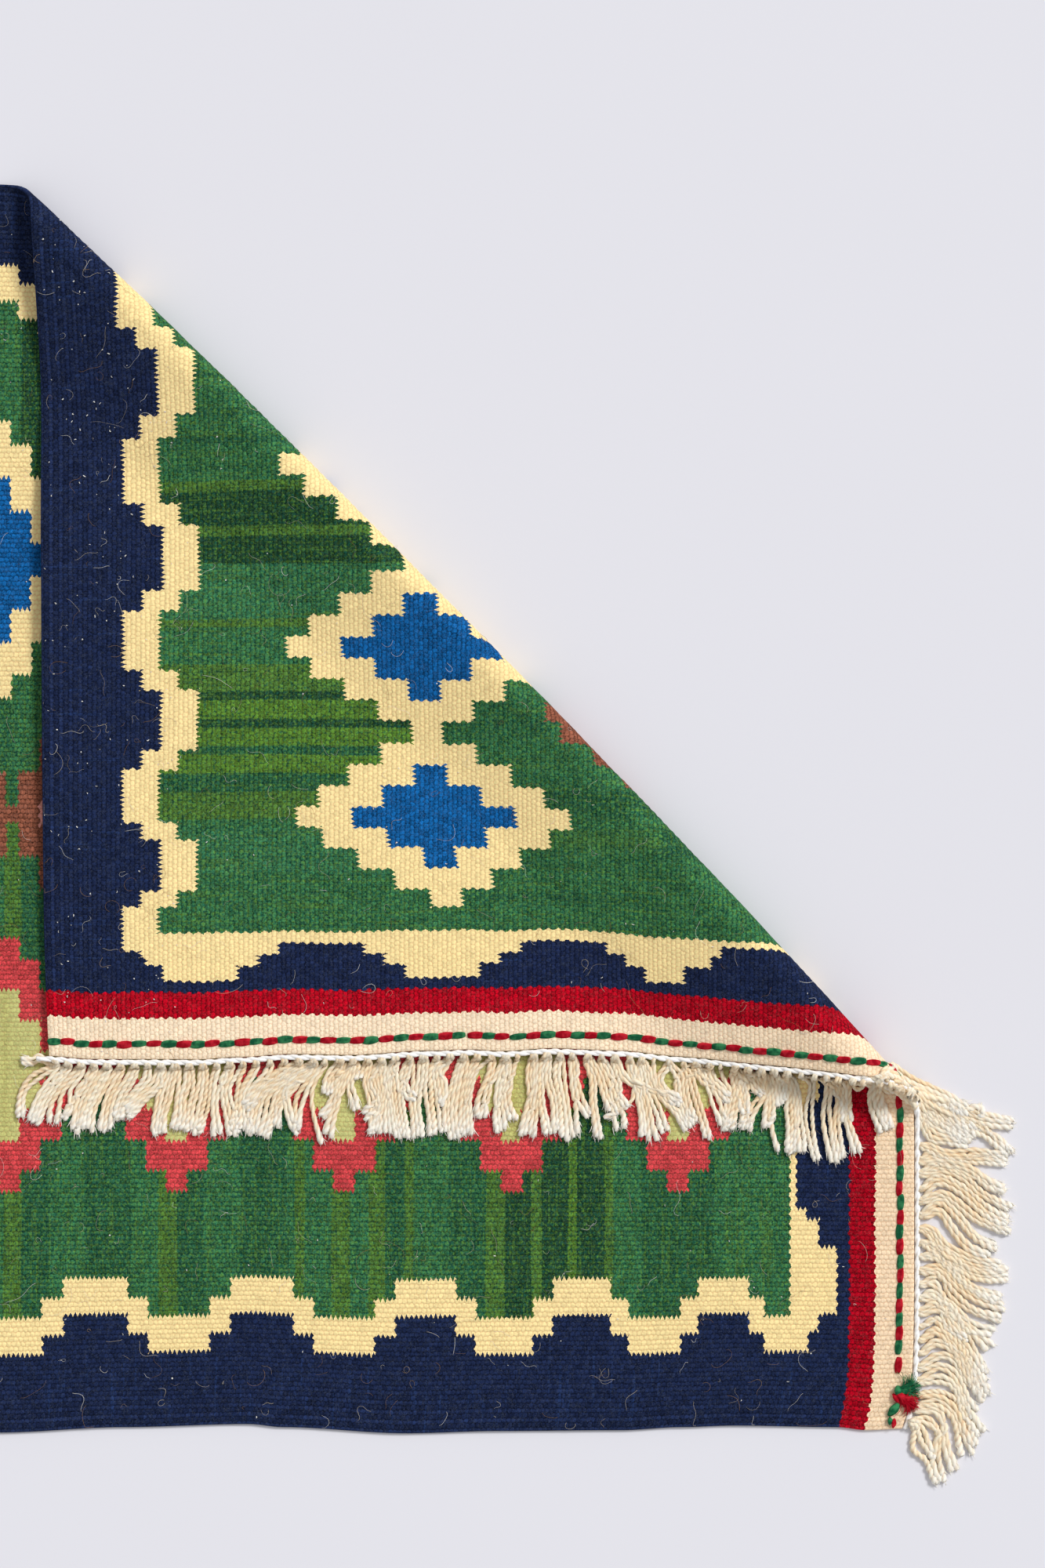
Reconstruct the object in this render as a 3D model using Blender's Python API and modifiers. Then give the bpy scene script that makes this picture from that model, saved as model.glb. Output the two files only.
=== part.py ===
"""Flat-woven kilim rug, lying flat with its top right corner folded over onto it.

Metres, +Z up.  +X runs along the rug towards the folded end, +Y across it.  The underside
lies on z = 0, and the origin is the middle of the rug's underside.

A place on the rug is (u, v) before folding: u is the distance from the end that is folded,
v the distance from the long side that is folded.  `placed` carries it to where it lies.
"""

import math

import bmesh
import bpy
from mathutils import Vector

# Driving sizes of the rug
RUG_LENGTH = 1.50
RUG_WIDTH = 0.80
CLOTH_THICK = 0.0030
GAP = 0.0006               # clear space between neighbouring pieces
LAYER_GAP = 0.0004         # clear space between the folded corner and the cloth under it

# The fold: a soft roll whose outline bows out between these two points
FOLD_START = (0.1835, 0.3935)
FOLD_END = (0.7295, -0.1615)
FOLD_BOW = 0.0070
BOW_POWER = 2.5
ROLL_RADIUS = 0.0110       # of the middle of the cloth, at the long side
ROLL_GAIN = 0.0040         # the roll opens by this much towards the fringed end
ROLL_GAIN_FROM = 0.10
ROLL_GAIN_OVER = 0.30
SLOPE_ANGLE = math.radians(16)
TOUCH_RADIUS = 0.060       # of the bend where the folded corner comes down to lie flat

# How the folded corner is drawn sideways as it lies
DRAW_FROM = 0.02
DRAW_OVER = 0.12
END_DRAW, END_DRAW_REACH = 0.0040, 0.075
CORNER_DRAW, CORNER_DRAW_ACROSS, CORNER_DRAW_ALONG = 0.0038, 0.030, 0.125
SIDE_DROP, SIDE_DROP_WIDTH = 0.0045, 0.45
# (distance from the folded long side, how far the end is drawn along +Y)
FLAP_END_WAVE = (
    (0.000, -0.0005), (0.030, -0.0023), (0.098, -0.0020), (0.125, -0.0002),
    (0.160, 0.0022), (0.195, 0.0019), (0.250, 0.0052), (0.275, 0.0062),
    (0.295, 0.0054), (0.328, 0.0076), (0.371, 0.0067), (0.410, 0.0038),
    (0.462, 0.0031), (0.522, 0.0048),
)
FLAP_END_WAVE_REACH = 0.10

# How far the folded corner stands off the cloth under it, along its long side:
# (distance from the folded end, height), and along its end
SIDE_LIFT = ((0.000, 0.0030), (0.100, 0.0040), (0.300, 0.0085), (0.450, 0.0090))
SIDE_LIFT_REACH = 0.045
END_LIFT, END_LIFT_REACH = 0.0040, 0.035
LIFT_FROM, LIFT_OVER = 0.11, 0.07

# Uneven long sides: (distance from the folded end, how far the side stands out)
FRONT_SIDE_WAVE = (
    (0.000, 0.0000), (0.023, 0.0010), (0.043, -0.0010), (0.110, -0.0020),
    (0.145, -0.0010), (0.185, 0.0010), (0.265, 0.0015), (0.325, 0.0030),
    (0.405, -0.0010), (0.427, -0.0030), (0.508, -0.0010), (0.588, 0.0025),
    (0.720, -0.0010), (0.880, 0.0020), (1.060, -0.0015), (1.240, 0.0020),
    (1.420, -0.0010), (1.500, 0.0000),
)
BACK_SIDE_WAVE = (
    (0.000, 0.0000), (0.560, 0.0000), (0.620, 0.0015), (0.780, 0.0005),
    (0.930, -0.0020), (1.120, 0.0015), (1.300, -0.0010), (1.500, 0.0000),
)
WAVE_DEPTH = 0.080         # the waves die away over this distance in from a side
CORNER_PULL = 0.0080       # the fringed corners are drawn in by this much
CORNER_PULL_ACROSS = 0.020
CORNER_PULL_ALONG = 0.250

# The grid that the cloth is folded along
BASE_STEP = 0.090
FLAP_STEP = 0.080
ALONG_STEP = 0.055
ROLL_STEPS = 12
SLOPE_STEPS = 3
TOUCH_STEPS = 3
GRID_BACK = -1.27          # reach of the grid over the base, square to the fold
GRID_FLAP = 0.34
GRID_FROM = -1.08          # reach of the grid along the fold
GRID_TO = 0.60

# The white cord twined round the warps at each end
TWINING_WIDTH = 0.0030
TWINING_TAIL = 0.008       # it runs on this far past the folded long side

# Fringe: one comb along each end, each tooth two knotted pairs of warps
TEETH = 45
TOOTH_SHARE = 0.75         # of the pitch, the rest is open
TIP_SHARE = 0.62           # of a tooth's root width
FRINGE_THICK = 0.0024
SPINE_WIDTH = 0.0030
TOOTH_STEPS = 3
LEAVE_SHARE = 0.35         # of its reach, that a tooth keeps to the warps' direction
RISE_SHARE = 0.30          # of the height that it would gain so
FRINGE_REST = 0.00130      # height of a tooth's middle over what it lies on
CROSSING_LIFT = 0.0030     # more, where a tooth crosses over other teeth
# (distance from the folded long side, reach, heading clockwise from +X in degrees)
FOLDED_END_FAN = (
    (0.000, 0.050, 108), (0.050, 0.055, 111), (0.120, 0.054, 104), (0.200, 0.053, 96),
    (0.400, 0.053, 86), (0.500, 0.055, 81), (0.540, 0.055, 78), (0.558, 0.050, 68),
    (0.576, 0.060, 17), (0.593, 0.061, 20), (0.630, 0.057, 21), (0.660, 0.060, 25),
    (0.720, 0.058, 29), (0.760, 0.054, 36), (0.780, 0.052, 48), (0.800, 0.052, 66),
)
FAR_END_FAN = (
    (0.000, 0.048, 204), (0.060, 0.053, 193), (0.180, 0.057, 184), (0.330, 0.057, 172),
    (0.450, 0.058, 183), (0.600, 0.057, 190), (0.720, 0.055, 170), (0.800, 0.047, 152),
)

# The knot that ends the two-coloured twined line, on the cloth near the fringed corner
KNOT_U, KNOT_V = 0.0065, 0.7715
KNOT_THICK = 0.0040
# (along x from the knot, along y from the knot, thickness)
KNOT_ROUTE = (
    (0.0100, 0.0065, 0.0022), (0.0060, 0.0050, 0.0036), (0.0010, 0.0015, 0.0040),
    (-0.0010, -0.0020, 0.0040), (0.0030, -0.0060, 0.0040), (0.0065, -0.0100, 0.0026),
)

# Colour (linear), roughness
COLOURS = {
    "wool": ((0.020, 0.055, 0.110), 0.9),
    "cotton_white": ((0.80, 0.78, 0.74), 0.85),
    "cotton_natural": ((0.74, 0.64, 0.48), 0.85),
    "yarn_red": ((0.45, 0.010, 0.025), 0.9),
}


def vector_2d(a, b):
    return Vector((b[0] - a[0], b[1] - a[1]))


FOLD_LINE = vector_2d(FOLD_START, FOLD_END)
ALONG = FOLD_LINE.normalized()
OUTWARD = Vector((-ALONG.y, ALONG.x))
HALF_FOLD = FOLD_LINE.length / 2
FOLD_MIDDLE = (Vector(FOLD_START) + Vector(FOLD_END)) / 2


def eased(t):
    """0 to 1 as t goes from 0 to 1, level at both ends."""
    t = min(max(t, 0.0), 1.0)
    return t * t * (3 - 2 * t)


def from_table(rows, where, column):
    """A table's column at a place between its rows, joined by eased steps."""
    if where <= rows[0][0]:
        return rows[0][column]
    for low, high in zip(rows, rows[1:]):
        if where <= high[0]:
            share = eased((where - low[0]) / (high[0] - low[0]))
            return low[column] + share * (high[column] - low[column])
    return rows[-1][column]


# --- how the rug lies ---------------------------------------------------------------


def roll_radius(s):
    return ROLL_RADIUS + ROLL_GAIN * eased((s - ROLL_GAIN_FROM) / ROLL_GAIN_OVER)


def roll_start(s):
    """How far out from the fold's chord the cloth leaves the floor."""
    bow = FOLD_BOW * (1 - min(abs(s) / HALF_FOLD, 1.2) ** BOW_POWER)
    return bow - roll_radius(s) - CLOTH_THICK / 2


def slope_length(radius):
    """The straight stretch between the roll and the bend where the corner touches down."""
    rise, turn = math.cos(SLOPE_ANGLE), 1 - math.cos(SLOPE_ANGLE)
    drop = radius * (1 + rise) - TOUCH_RADIUS * turn - CLOTH_THICK - LAYER_GAP
    return drop / math.sin(SLOPE_ANGLE)


def fold_lengths(radius):
    """Lengths of cloth to the end of the roll, of the slope and of the last bend."""
    roll = radius * (math.pi + SLOPE_ANGLE)
    slope = roll + slope_length(radius)
    return roll, slope, slope + TOUCH_RADIUS * SLOPE_ANGLE


def fold_section(e, radius):
    """(offset outward, height) of cloth that lies e past the start of the roll."""
    roll, slope, touch = fold_lengths(radius)
    turn = min(max(e, 0.0), roll) / radius
    out = min(e, 0.0) + radius * math.sin(turn)
    height = radius * (1 - math.cos(turn))
    run = min(max(e - roll, 0.0), slope - roll)
    out -= run * math.cos(SLOPE_ANGLE)
    height -= run * math.sin(SLOPE_ANGLE)
    bend = min(max(e - slope, 0.0), touch - slope) / TOUCH_RADIUS
    out -= TOUCH_RADIUS * (math.sin(SLOPE_ANGLE) - math.sin(SLOPE_ANGLE - bend))
    height -= TOUCH_RADIUS * (math.cos(SLOPE_ANGLE - bend) - math.cos(SLOPE_ANGLE))
    return out - max(e - touch, 0.0), height


def unfolded(u, v):
    """Where a place on the rug lies before folding, with the sides' unevenness."""
    front, back = math.exp(-(RUG_WIDTH - v) / WAVE_DEPTH), math.exp(-v / WAVE_DEPTH)
    y = RUG_WIDTH / 2 - v
    y -= front * from_table(FRONT_SIDE_WAVE, u, 1)
    y += back * from_table(BACK_SIDE_WAVE, u, 1)
    x = RUG_LENGTH / 2 - u
    in_from_front = math.exp(-abs(RUG_WIDTH - v) / CORNER_PULL_ACROSS)
    x -= CORNER_PULL * in_from_front * math.exp(-abs(u) / CORNER_PULL_ALONG)
    in_from_back = math.exp(-abs(v) / CORNER_PULL_ACROSS)
    far = math.exp(-abs(RUG_LENGTH - u) / CORNER_PULL_ALONG)
    x += CORNER_PULL / 2 * (in_from_front + in_from_back) * far
    return x, y


def drawn(u, v, e):
    """How the folded corner is drawn sideways, along x and y."""
    u, v = max(u, 0.0), max(v, 0.0)
    share = eased((e - DRAW_FROM) / DRAW_OVER)
    along = END_DRAW * math.exp(-u / END_DRAW_REACH)
    along += CORNER_DRAW * math.exp(-v / CORNER_DRAW_ACROSS - u / CORNER_DRAW_ALONG)
    down = SIDE_DROP * (1 - v / SIDE_DROP_WIDTH)
    wave = from_table(FLAP_END_WAVE, v, 1) * math.exp(-u / FLAP_END_WAVE_REACH)
    return share * along, share * (wave - down)


def edge_lift(u, v, e):
    """How far the folded corner stands off along its long side and its end."""
    u, v = max(u, 0.0), max(v, 0.0)
    share = eased((e - LIFT_FROM) / LIFT_OVER)
    side = from_table(SIDE_LIFT, u, 1) * math.exp(-v / SIDE_LIFT_REACH)
    return share * max(side, END_LIFT * math.exp(-u / END_LIFT_REACH))


def placed(u, v):
    """Where a place on the rug's middle surface lies."""
    x, y = unfolded(u, v)
    from_middle = Vector((x, y)) - FOLD_MIDDLE
    s = from_middle.dot(ALONG)
    start = roll_start(s)
    e = from_middle.dot(OUTWARD) - start
    out, height = fold_section(e, roll_radius(s))
    spot = FOLD_MIDDLE + s * ALONG + (start + out) * OUTWARD
    along, down = drawn(u, v, e)
    height += CLOTH_THICK / 2 + edge_lift(u, v, e)
    return Vector((spot.x + along, spot.y + down, height))


def past_roll_start(u, v):
    """How far past the start of the roll a place on the rug is, before folding."""
    x, y = unfolded(u, v)
    from_middle = Vector((x, y)) - FOLD_MIDDLE
    return from_middle.dot(OUTWARD) - roll_start(from_middle.dot(ALONG))


# --- making objects -----------------------------------------------------------------


def clear_scene():
    for obj in list(bpy.data.objects):
        bpy.data.objects.remove(obj, do_unlink=True)


def new_collection(name):
    collection = bpy.data.collections.new(name)
    bpy.context.scene.collection.children.link(collection)
    return collection


def material(name):
    colour, roughness = COLOURS[name]
    made = bpy.data.materials.new(name)
    made.use_nodes = True
    shader = made.node_tree.nodes["Principled BSDF"]
    shader.inputs["Base Color"].default_value = (*colour, 1.0)
    shader.inputs["Roughness"].default_value = roughness
    shader.inputs["Metallic"].default_value = 0.0
    made.diffuse_color = (*colour, 1.0)
    return made


def thick_sheet(name, bm, thickness, surface, collection):
    """An object that gives an open middle surface its thickness, half on each side."""
    bmesh.ops.recalc_face_normals(bm, faces=bm.faces)
    mesh = bpy.data.meshes.new(name)
    bm.to_mesh(mesh)
    bm.free()
    mesh.materials.append(surface)
    obj = bpy.data.objects.new(name, mesh)
    collection.objects.link(obj)
    solid = obj.modifiers.new("thickness", "SOLIDIFY")
    solid.thickness = thickness
    solid.offset = 0.0
    mesh.shade_smooth()
    mesh.set_sharp_from_angle(angle=math.radians(40))
    return obj


# --- cloth and twined cords -----------------------------------------------------------


def stepped(low, high, step):
    """Even steps from low to high, none longer than step."""
    count = math.ceil((high - low) / step)
    return [low + (high - low) * i / count for i in range(count + 1)]


def fold_phases():
    """Stations square to the fold: below 0 on the base, 0 to 1 round the roll, 1 to 2 down
    the slope, 2 to 3 round the last bend, and past 3 on the flat of the folded corner."""
    base = stepped(GRID_BACK, 0.0, BASE_STEP)
    roll = [i / ROLL_STEPS for i in range(1, ROLL_STEPS + 1)]
    slope = [1 + i / SLOPE_STEPS for i in range(1, SLOPE_STEPS + 1)]
    touch = [2 + i / TOUCH_STEPS for i in range(1, TOUCH_STEPS + 1)]
    flap = [3 + e for e in stepped(0.0, GRID_FLAP, FLAP_STEP)[1:]]
    return base + roll + slope + touch + flap


def phase_distance(phase, s):
    """How far past the start of the roll a station lies."""
    roll, slope, touch = fold_lengths(roll_radius(s))
    if phase <= 0:
        return phase
    if phase <= 1:
        return roll * phase
    if phase <= 2:
        return roll + (slope - roll) * (phase - 1)
    if phase <= 3:
        return slope + (touch - slope) * (phase - 2)
    return touch + phase - 3


def flat_grid():
    """A grid along the fold, unfolded, that reaches past the rug on every side."""
    bm = bmesh.new()
    rows = []
    for phase in fold_phases():
        row = []
        for s in stepped(GRID_FROM, GRID_TO, ALONG_STEP):
            out = roll_start(s) + phase_distance(phase, s)
            spot = FOLD_MIDDLE + s * ALONG + out * OUTWARD
            row.append(bm.verts.new((spot.x, spot.y, 0.0)))
        rows.append(row)
    for low, high in zip(rows, rows[1:]):
        for i in range(len(low) - 1):
            bm.faces.new((low[i], low[i + 1], high[i + 1], high[i]))
    return bm


def cut_away(bm, point, outward):
    everything = list(bm.verts) + list(bm.edges) + list(bm.faces)
    bmesh.ops.bisect_plane(
        bm, geom=everything, dist=1e-6, plane_co=point, plane_no=outward, clear_outer=True
    )


def score_ends(bm):
    """Cuts the faces along both ends at every tooth of the fringe, so that the edges of
    neighbouring pieces bend at the same places."""
    for tooth in range(1, TEETH):
        y = RUG_WIDTH / 2 - tooth * RUG_WIDTH / TEETH
        faces = [f for f in bm.faces if max(abs(v.co.x) for v in f.verts) > RUG_LENGTH / 2 - GAP]
        edges = {edge for face in faces for edge in face.edges}
        verts = {vert for face in faces for vert in face.verts}
        geometry = list(verts) + list(edges) + faces
        bmesh.ops.bisect_plane(
            bm, geom=geometry, dist=1e-6, plane_co=(0, y, 0), plane_no=(0, 1, 0)
        )


def folded_strip(name, u_range, v_range, surface, collection):
    """The stretch of cloth between two distances each way, cut out flat and then folded."""
    bm = flat_grid()
    x_high, x_low = (RUG_LENGTH / 2 - u for u in u_range)
    y_high, y_low = (RUG_WIDTH / 2 - v for v in v_range)
    cut_away(bm, (x_high, 0, 0), (1, 0, 0))
    cut_away(bm, (x_low, 0, 0), (-1, 0, 0))
    cut_away(bm, (0, y_high, 0), (0, 1, 0))
    cut_away(bm, (0, y_low, 0), (0, -1, 0))
    score_ends(bm)
    for vert in bm.verts:
        vert.co = placed(RUG_LENGTH / 2 - vert.co.x, RUG_WIDTH / 2 - vert.co.y)
    return thick_sheet(name, bm, CLOTH_THICK, surface, collection)


def make_cloth(collection):
    folded_strip(
        "rug_cloth", (0.0, RUG_LENGTH), (0.0, RUG_WIDTH), material("wool"), collection
    )


def make_twining(collection):
    near, far = GAP, GAP + TWINING_WIDTH
    white = material("cotton_white")
    across = (-TWINING_TAIL, RUG_WIDTH)
    folded_strip("twining_folded_end", (-far, -near), across, white, collection)
    past_end = (RUG_LENGTH + near, RUG_LENGTH + far)
    folded_strip("twining_far_end", past_end, (0.0, RUG_WIDTH), white, collection)


# --- fringe -----------------------------------------------------------------------------


class End:
    """One end of the rug, with distances out from it."""

    def __init__(self, folded, fan):
        self.folded = folded
        self.fan = fan

    def spot(self, out, v):
        return placed(-out if self.folded else RUG_LENGTH + out, v)

    def outward(self, out, v):
        """The direction in which the warps leave the end."""
        small = 0.0005
        return (self.spot(out + small, v) - self.spot(out, v)).normalized()

    def past_roll(self, v):
        return past_roll_start(0.0, v) if self.folded else GRID_BACK

    def face_up(self, v):
        """Whether the cloth's upper face is up here, and not turned over."""
        return self.past_roll(v) < roll_turn_length() / 2


def roll_turn_length():
    return math.pi * (ROLL_RADIUS + ROLL_GAIN)


def heading_vector(degrees):
    angle = math.radians(degrees)
    return Vector((math.cos(angle), -math.sin(angle), 0.0))


def resting_height(spot, past_roll):
    """Height of a tooth's middle at its tip: on the floor, on the cloth or on other teeth."""
    over_cloth = abs(spot.x) < RUG_LENGTH / 2 + SPINE_WIDTH and abs(spot.y) < RUG_WIDTH / 2
    if over_cloth:
        return CLOTH_THICK + GAP + FRINGE_REST
    return FRINGE_REST if past_roll <= 0 else FRINGE_REST + CROSSING_LIFT


def tooth_lines(end, across):
    """The middle surface of a tooth, as a line from spine to tip at each place across it."""
    middle = (across[0] + across[-1]) / 2
    root_out = 2 * GAP + TWINING_WIDTH + SPINE_WIDTH
    reach = from_table(end.fan, middle, 1)
    heading = heading_vector(from_table(end.fan, middle, 2))
    turned = end.folded and end.face_up(middle)
    sideways = Vector((-heading.y, heading.x, 0.0)) * (-1 if turned else 1)
    tip_middle = end.spot(root_out, middle) + reach * heading
    rest = resting_height(tip_middle, end.past_roll(middle))
    lines = []
    for v in across:
        root = end.spot(root_out, v)
        tip = tip_middle + (v - middle) * TIP_SHARE * sideways
        tip.z = rest
        leave = root + LEAVE_SHARE * reach * end.outward(root_out, v)
        leave.z = root.z + RISE_SHARE * (leave.z - root.z)
        line = [end.spot(2 * GAP + TWINING_WIDTH, v), root]
        for step in range(1, TOOTH_STEPS + 1):
            t = step / TOOTH_STEPS
            line.append((1 - t) ** 2 * root + 2 * t * (1 - t) * leave + t * t * tip)
        lines.append(line)
    return lines


def places_across(end, start, pitch):
    """Places along the end where a tooth's spine bends: more of them round the roll."""
    bent = -pitch < end.past_roll(start) < roll_turn_length() + pitch
    count = 3 if bent else 1
    return [start + pitch * TOOTH_SHARE * i / count for i in range(count + 1)]


def make_comb(name, end, collection):
    pitch = RUG_WIDTH / TEETH
    bm = bmesh.new()
    before = None
    for index in range(TEETH):
        lines = tooth_lines(end, places_across(end, index * pitch, pitch))
        columns = [[bm.verts.new(point) for point in line] for line in lines]
        if before:
            bm.faces.new((before[0], columns[0][0], columns[0][1], before[1]))
        for left, right in zip(columns, columns[1:]):
            for i in range(len(left) - 1):
                bm.faces.new((left[i], right[i], right[i + 1], left[i + 1]))
        before = columns[-1]
    thick_sheet(name, bm, FRINGE_THICK, material("cotton_natural"), collection)


def make_fringes(collection):
    make_comb("fringe_folded_end", End(True, FOLDED_END_FAN), collection)
    make_comb("fringe_far_end", End(False, FAR_END_FAN), collection)


# --- knot ---------------------------------------------------------------------------------


def make_knot(collection):
    """The yarn tails of the twined line, tied in a small knot that lies on the cloth."""
    spot = placed(KNOT_U, KNOT_V)
    curve = bpy.data.curves.new("twined_line_knot", "CURVE")
    curve.dimensions = "3D"
    curve.bevel_depth = KNOT_THICK / 2
    curve.bevel_resolution = 2
    curve.use_fill_caps = True
    spline = curve.splines.new("POLY")
    spline.points.add(len(KNOT_ROUTE) - 1)
    for point, (along_x, along_y, thick) in zip(spline.points, KNOT_ROUTE):
        height = CLOTH_THICK + GAP + KNOT_THICK / 2
        point.co = (spot.x + along_x, spot.y + along_y, height, 1.0)
        point.radius = thick / KNOT_THICK
    curve.materials.append(material("yarn_red"))
    obj = bpy.data.objects.new("twined_line_knot", curve)
    collection.objects.link(obj)


def main():
    clear_scene()
    rug = new_collection("kilim_rug")
    make_cloth(rug)
    make_twining(rug)
    make_fringes(rug)
    make_knot(rug)


main()
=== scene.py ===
"""Looks of the kilim rug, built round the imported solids.

The rug is a weft-faced flatweave that lies flat, with its top right corner folded over.
A place on it is (u, v) before folding, in metres: u is the distance from the end that is
folded, v the distance from the long side that is folded.  `placed` carries it to where it
lies, and every piece below is laid out through it.
"""

import math

import bpy
import numpy as np
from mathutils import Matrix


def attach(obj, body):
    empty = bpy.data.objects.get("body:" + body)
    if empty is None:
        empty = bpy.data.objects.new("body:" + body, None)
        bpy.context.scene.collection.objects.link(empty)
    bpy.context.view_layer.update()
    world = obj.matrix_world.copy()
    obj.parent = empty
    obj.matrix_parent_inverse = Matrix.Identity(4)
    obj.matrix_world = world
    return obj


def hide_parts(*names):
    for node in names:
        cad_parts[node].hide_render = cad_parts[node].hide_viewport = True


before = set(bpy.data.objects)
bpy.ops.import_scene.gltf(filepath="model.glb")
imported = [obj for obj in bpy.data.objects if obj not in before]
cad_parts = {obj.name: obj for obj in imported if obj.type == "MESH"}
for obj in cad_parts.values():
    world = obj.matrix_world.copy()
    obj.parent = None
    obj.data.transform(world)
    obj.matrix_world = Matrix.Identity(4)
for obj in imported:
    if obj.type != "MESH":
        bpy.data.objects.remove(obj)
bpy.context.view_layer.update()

BODY = "root"
SEED = 7

# --- sizes of the rug and of its fold, as the solids have them ---

RUG_LENGTH = 1.50
RUG_WIDTH = 0.80
CLOTH_THICK = 0.0030
LAYER_GAP = 0.0004

FOLD_START = np.array((0.1835, 0.3935))
FOLD_END = np.array((0.7295, -0.1615))
FOLD_BOW = 0.0070
BOW_POWER = 2.5
ROLL_RADIUS = 0.0110
ROLL_GAIN = 0.0040
ROLL_GAIN_FROM = 0.10
ROLL_GAIN_OVER = 0.30
SLOPE_ANGLE = math.radians(16)
TOUCH_RADIUS = 0.060

DRAW_FROM = 0.02
DRAW_OVER = 0.12
END_DRAW, END_DRAW_REACH = 0.0040, 0.075
CORNER_DRAW, CORNER_DRAW_ACROSS, CORNER_DRAW_ALONG = 0.0038, 0.030, 0.125
SIDE_DROP, SIDE_DROP_WIDTH = 0.0045, 0.45
# How far the folded corner stands off the cloth under it, along its long side:
# (distance from the folded end, height), and along its end
SIDE_LIFT = ((0.000, 0.0030), (0.100, 0.0040), (0.300, 0.0085), (0.450, 0.0090))
SIDE_LIFT_REACH = 0.045
END_LIFT, END_LIFT_REACH = 0.0040, 0.035
LIFT_FROM, LIFT_OVER = 0.11, 0.07
# (distance from the folded long side, how far the end is drawn along +Y)
FLAP_END_WAVE = (
    (0.000, -0.0005), (0.030, -0.0023), (0.098, -0.0020), (0.125, -0.0002),
    (0.160, 0.0022), (0.195, 0.0019), (0.250, 0.0052), (0.275, 0.0062),
    (0.295, 0.0054), (0.328, 0.0076), (0.371, 0.0067), (0.410, 0.0038),
    (0.462, 0.0031), (0.522, 0.0048),
)
FLAP_END_WAVE_REACH = 0.10

# (distance from the folded end, how far the side stands out)
FRONT_SIDE_WAVE = (
    (0.000, 0.0000), (0.023, 0.0010), (0.043, -0.0010), (0.110, -0.0020),
    (0.145, -0.0010), (0.185, 0.0010), (0.265, 0.0015), (0.325, 0.0030),
    (0.405, -0.0010), (0.427, -0.0030), (0.508, -0.0010), (0.588, 0.0025),
    (0.720, -0.0010), (0.880, 0.0020), (1.060, -0.0015), (1.240, 0.0020),
    (1.420, -0.0010), (1.500, 0.0000),
)
BACK_SIDE_WAVE = (
    (0.000, 0.0000), (0.560, 0.0000), (0.620, 0.0015), (0.780, 0.0005),
    (0.930, -0.0020), (1.120, 0.0015), (1.300, -0.0010), (1.500, 0.0000),
)
WAVE_DEPTH = 0.080
CORNER_PULL = 0.0080
CORNER_PULL_ACROSS = 0.020
CORNER_PULL_ALONG = 0.250

FOLD_LINE = FOLD_END - FOLD_START
HALF_FOLD = float(np.hypot(*FOLD_LINE)) / 2
ALONG = FOLD_LINE / (2 * HALF_FOLD)
OUTWARD = np.array((-ALONG[1], ALONG[0]))
FOLD_MIDDLE = (FOLD_START + FOLD_END) / 2

# --- the weave and its pattern ---

WARP_PITCH = 0.00305       # ribs, side by side along v
GRAIN = 0.00305            # a pass of weft over a warp and under the next, along u

# Bands of the ends, as distances from the end
LINE_FROM, LINE_TO = 0.0071, 0.0116     # the two-coloured twined line
CREAM_TO = 0.0255
RED_TO = 0.0419
END_YELLOW_TO = 0.0797

# The stepped border along the ends: (place of the first low, how far from the end the navy
# reaches there, steps as (distance from a low's middle, what it adds), reach in the corner,
# the corner's width)
END_EDGE_PERIOD = 0.1560
BACK_END_EDGE = (
    0.0994, 0.0490, ((0.0237, 0.0091), (0.0368, 0.0071), (0.0500, 0.0071)), 0.0636, 0.0646
)
FRONT_END_EDGE = (
    0.0947, 0.0500, ((0.0220, 0.0112), (0.0397, 0.0079), (0.0466, 0.0066)), 0.0656, 0.0621
)
# The stepped border along the sides: its reach at a peak, and steps down from there
SIDE_EDGE_PEAK = 0.0737
SIDE_EDGE_STEPS = ((0.0207, -0.0126), (0.0343, -0.0121))
SIDE_EDGE_FIRST, SIDE_EDGE_PERIOD = 0.0919, 0.1085
SIDE_EDGE_LAG, SIDE_EDGE_LAG_REACH = 0.0924, 0.1115     # steps near the end come later
YELLOW_WIDTH = 0.0230
BACK_EDGE_MORE = 0.0027    # how much wider the folded side's border is

# Rows of linked stepped diamonds: (period, middle of the first diamond, outer figure, inner
# figure, what each step takes off).  A figure is (its widest half width, the half width that
# the steps are taken off)
MOTIF_PERIOD, MOTIF_FIRST = 0.1085, 0.1539
MOTIF_STEP = 0.0134        # the length of a step
MOTIF_TIP = 0.54           # from the last diamond's middle to the row's tip, in periods
TOP_ROW = (MOTIF_PERIOD, MOTIF_FIRST, (0.0888, 0.0949), (0.0530, 0.0530), 0.0212)
MIDDLE_ROW = (0.1020, 0.2230, (0.0797, 0.0914), (0.0505, 0.0505), 0.0215)
LOW_ROW = (MOTIF_PERIOD, MOTIF_FIRST, (0.0813, 0.0878), (0.0485, 0.0485), 0.0200)
# Where the rows' middles lie across the rug, and how the outer two stray
TOP_ACROSS, MIDDLE_ACROSS, LOW_ACROSS = 0.2407, 0.4045, 0.5658
TOP_STRAY, TOP_STRAY_RATE = 0.0116, -10.0
LOW_STRAY = 0.0060

# --- light, floor and camera ---

CAMERA_PLACE = (0.4979, 0.0149, 2.384)
CAMERA_LENS, CAMERA_SENSOR = 85.0, 36.0
SKY_COLOUR, SKY_STRENGTH = (0.97, 0.98, 1.0, 1.0), 0.50
SUN_STRENGTH, SUN_SPREAD = 2.25, math.radians(16)
SUN_TURN = (math.radians(-30), math.radians(38), 0.0)
FLOOR_SIZE, FLOOR_TOP = 60.0, -0.0002


# === how the rug lies ===


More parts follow.
